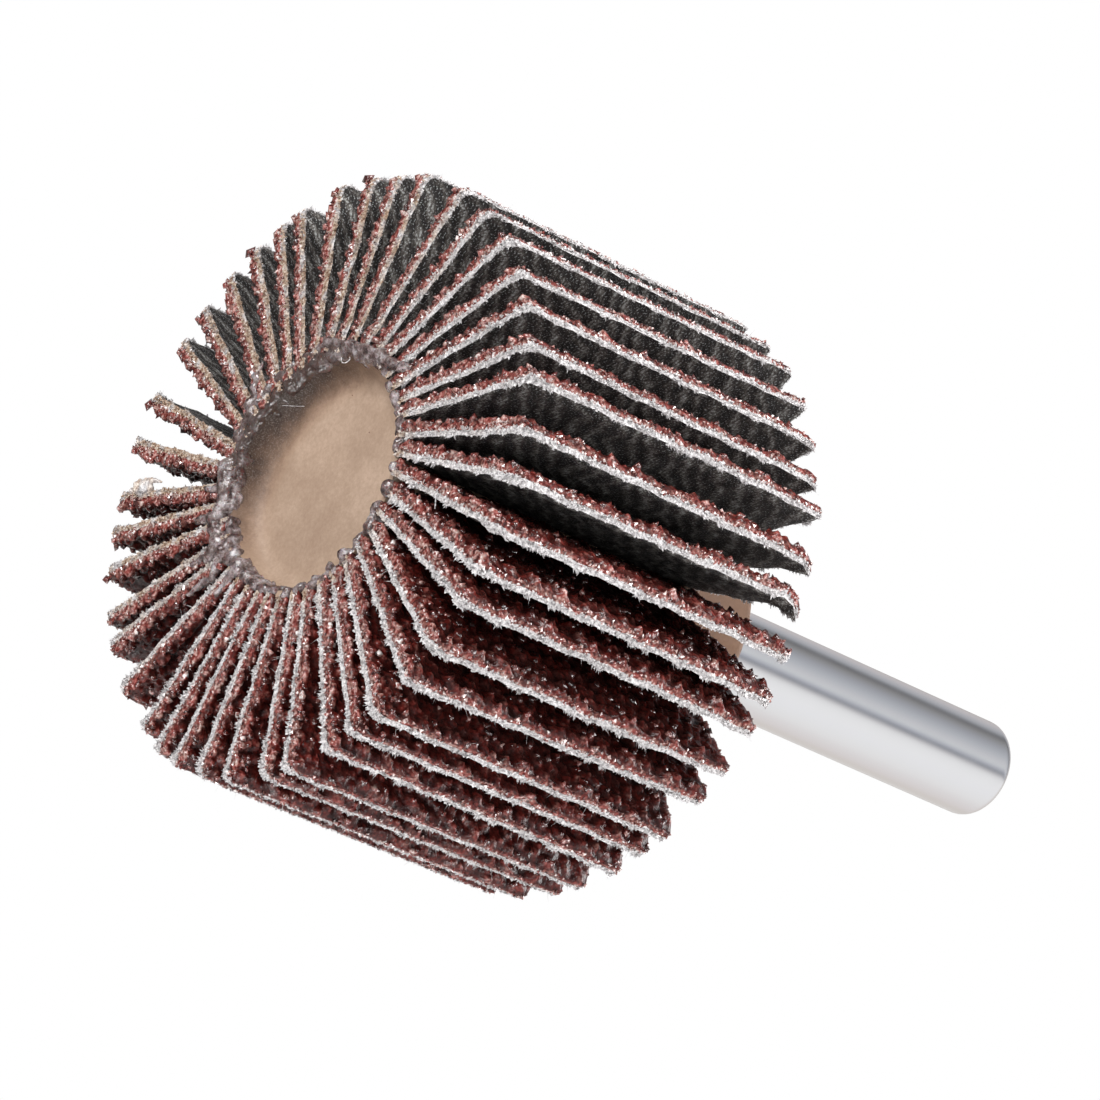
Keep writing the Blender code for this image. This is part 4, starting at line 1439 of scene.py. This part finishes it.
def melt(pieces, name, voxel, lump_size, lump_height):
    """Joins overlapping solids into one smooth, lumpy skin."""
    bpy.ops.object.select_all(action="DESELECT")
    for piece in pieces:
        piece.select_set(True)
    bpy.context.view_layer.objects.active = pieces[0]
    bpy.ops.object.join()
    melted = bpy.context.object
    melted.name = name
    bpy.ops.object.transform_apply(location=True, rotation=True, scale=True)
    remesh = melted.modifiers.new("melt", "REMESH")
    remesh.mode = "VOXEL"
    remesh.voxel_size = voxel
    smooth = melted.modifiers.new("round", "SMOOTH")
    smooth.factor = 0.5
    smooth.iterations = 2
    lumps = bpy.data.textures.new("lumps", "CLOUDS")
    lumps.noise_scale = lump_size
    lumpy = melted.modifiers.new("lumps", "DISPLACE")
    lumpy.texture = lumps
    lumpy.strength = lump_height
    for modifier in list(melted.modifiers):
        bpy.ops.object.modifier_apply(modifier=modifier.name)
    bpy.ops.object.shade_smooth()
    return melted


glue = melt(drops, "glue_on_roots", VOXEL, LUMP_SIZE, LUMP_HEIGHT)
glue.data.materials.append(epoxy_glue)
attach(glue, "root")
print("glue triangles:", len(triangles_of(glue.data)[1]))

# %% [markdown]
# Lint. A few threads of cotton have come loose and stick to the glue: a loop at the lip, a hair
# across the recess and a white thread at the right. Each is a curve with a round bevel, through
# points that lie on what it sticks to, turned into a mesh.

# %% Stray threads
# Points in millimetres and the thickness of each thread
THREADS = {
    "lint_loop_at_lip": (0.03, (
        (6.9, -2.0, 0.0), (6.45, -1.2, -0.4), (6.6, -0.35, -0.6), (7.1, -0.2, -0.5), (7.1, -1.1, -0.1))),
    "lint_hair_in_recess": (0.014, (
        (2.3, -7.61, 0.6), (2.57, -7.05, 0.3), (3.15, -6.55, 0.9), (2.85, -5.95, 0.4), (3.4, -5.39, 1.35))),
    "lint_thread_at_right": (0.035, (
        (1.05, 12.8, 0.0), (1.49, 13.06, -0.35), (1.85, 12.92, -0.45), (2.07, 12.54, -0.4),
        (2.45, 12.57, 0.0))),
}


def add_thread(name, thickness, route):
    """A round thread through points, as a mesh, in loose cotton."""
    bpy.ops.curve.primitive_nurbs_path_add(location=(0, 0, 0))
    thread = bpy.context.object
    thread.name = name
    for point, place in zip(thread.data.splines[0].points, route):
        point.co = (*(Vector(place) * MM), 1.0)
    thread.data.splines[0].resolution_u = 8
    thread.data.bevel_depth = thickness * MM
    thread.data.bevel_resolution = 1
    thread.data.use_fill_caps = True
    bpy.ops.object.select_all(action="DESELECT")
    thread.select_set(True)
    bpy.ops.object.convert(target="MESH")
    thread = bpy.context.object
    bpy.ops.object.shade_smooth()
    thread.data.materials.clear()
    thread.data.materials.append(cut_cotton)
    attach(thread, "root")
    return thread


threads = [add_thread(name, *thread) for name, thread in THREADS.items()]
print("thread triangles:", [len(triangles_of(thread.data)[1]) for thread in threads])

# %% [markdown]
# A shred of cotton has been torn out of one flap's front edge and stands off it like a feather, and
# crumbs of grit lie where they fell, two tiny ones on the core and a few in the wet glue. The
# shred is melted from small balls, as the glue was. The crumbs are a few of the crystals.

# %% Torn shred and crumbs
# Radius and place of each ball, in millimetres: the root of the shred, its middle and its crest
TORN_SHRED = (
    (0.26, (-5.56, -16.44, 0.0)), (0.32, (-5.32, -16.03, 0.0)), (0.32, (-5.13, -15.45, 0.0)),
    (0.26, (-4.97, -14.85, 0.0)),
    (0.26, (-5.12, -16.16, -0.1)), (0.3, (-4.93, -15.58, -0.1)), (0.26, (-4.72, -15.03, -0.1)),
    (0.17, (-4.82, -16.04, -0.1)), (0.2, (-4.63, -15.47, -0.1)), (0.2, (-4.54, -15.18, -0.1)),
    (0.19, (-4.45, -14.88, -0.1)), (0.17, (-4.4, -14.6, -0.1)), (0.15, (-4.36, -14.35, -0.1)),
    (0.12, (-4.33, -14.13, -0.1)), (0.09, (-4.3, -13.91, -0.1)),
)
SHRED_VOXEL = 0.06 * MM
SHRED_SOAKED = 0.5
SHRED_LUMPS = 0.2 * MM
SHRED_LUMP_HEIGHT = 0.035 * MM
# The size and the place of each crumb, in millimetres
CRUMBS = (
    (0.12, (3.55, 1.11, 1.87)), (0.1, (5.15, -2.04, 1.87)), (0.3, (-5.14, 5.71, 0.0)),
    (0.25, (-5.28, 6.23, 0.0)), (0.3, (-4.81, 6.45, 0.0)),
)
CRUMB_TONE = 0.3
shred_balls = [add_drop(uneven, Vector(place) * MM, radius * MM) for radius, place in TORN_SHRED]
shred = melt(shred_balls, "torn_cotton_shred", SHRED_VOXEL, SHRED_LUMPS, SHRED_LUMP_HEIGHT)
shred.data.materials.append(cut_cotton)
soaked_shred = shred.data.attributes.new("soaked", "FLOAT", "POINT")
soaked_shred.data.foreach_set("value", np.full(len(shred.data.vertices), SHRED_SOAKED, dtype=np.float32))
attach(shred, "root")
crumb_places = np.array([place for _, place in CRUMBS]) * MM
crumb_turns = random_turns(uneven, len(CRUMBS))
crumb_sizes = np.array([[size] for size, _ in CRUMBS]) * MM
crumb_sizes = crumb_sizes * uneven.uniform(*UNEQUAL_SIDES, (len(CRUMBS), 3))
crumb_points, crumb_faces = scatter(crystals[0], crumb_places, crumb_turns, crumb_sizes)
crumb_mesh = bpy.data.meshes.new("grit_crumbs")
crumb_mesh.from_pydata(crumb_points.tolist(), [], crumb_faces.tolist())
crumb_tone = crumb_mesh.attributes.new("tone", "FLOAT", "POINT")
crumb_tone.data.foreach_set("value", np.full(len(crumb_points), CRUMB_TONE, dtype=np.float32))
crumb_mesh.materials.append(sized_grit)
crumbs = bpy.data.objects.new("grit_crumbs", crumb_mesh)
bpy.context.scene.collection.objects.link(crumbs)
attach(crumbs, "root")
print("shred triangles:", len(triangles_of(shred.data)[1]))

# %% [markdown]
# The shank is one plain rod: a cylinder with enough sides for a smooth reflection, its end edge
# rounded over by a bevel.

# %% Shank
SHANK_END_ROUND = 1.0 * MM
SHANK_SHARP_DEG = 30
bpy.ops.mesh.primitive_cylinder_add(
    vertices=128, radius=SHANK_RADIUS, depth=SHANK_TOP - SHANK_LOW.z,
    location=(0, 0, (SHANK_TOP + SHANK_LOW.z) / 2))
shank = bpy.context.object
shank.name = "ground_shank"
bpy.ops.object.transform_apply(location=True)
rounding = shank.modifiers.new("rounded end", "BEVEL")
rounding.width = SHANK_END_ROUND
rounding.segments = 8
rounding.limit_method = "ANGLE"
bpy.ops.object.modifier_apply(modifier=rounding.name)
bpy.ops.object.shade_smooth_by_angle(angle=math.radians(SHANK_SHARP_DEG))
shank.data.materials.append(ground_steel)
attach(shank, "root")
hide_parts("shank")
steel_only.objects.link(shank)
steel_only.collection_objects[0].light_linking.link_state = "EXCLUDE"
print("shank triangles:", len(triangles_of(shank.data)[1]))

# %% [markdown]
# The core keeps its CAD shape and takes the resin.

# %% Core
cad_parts["core"].data.materials.clear()
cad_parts["core"].data.materials.append(cast_resin)
print("core ready")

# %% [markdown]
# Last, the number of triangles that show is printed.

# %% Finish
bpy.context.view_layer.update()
shown = [thing for thing in bpy.data.objects if thing.type == "MESH" and not thing.hide_render]
print("triangles shown:", sum(len(thing.data.polygons) for thing in shown))
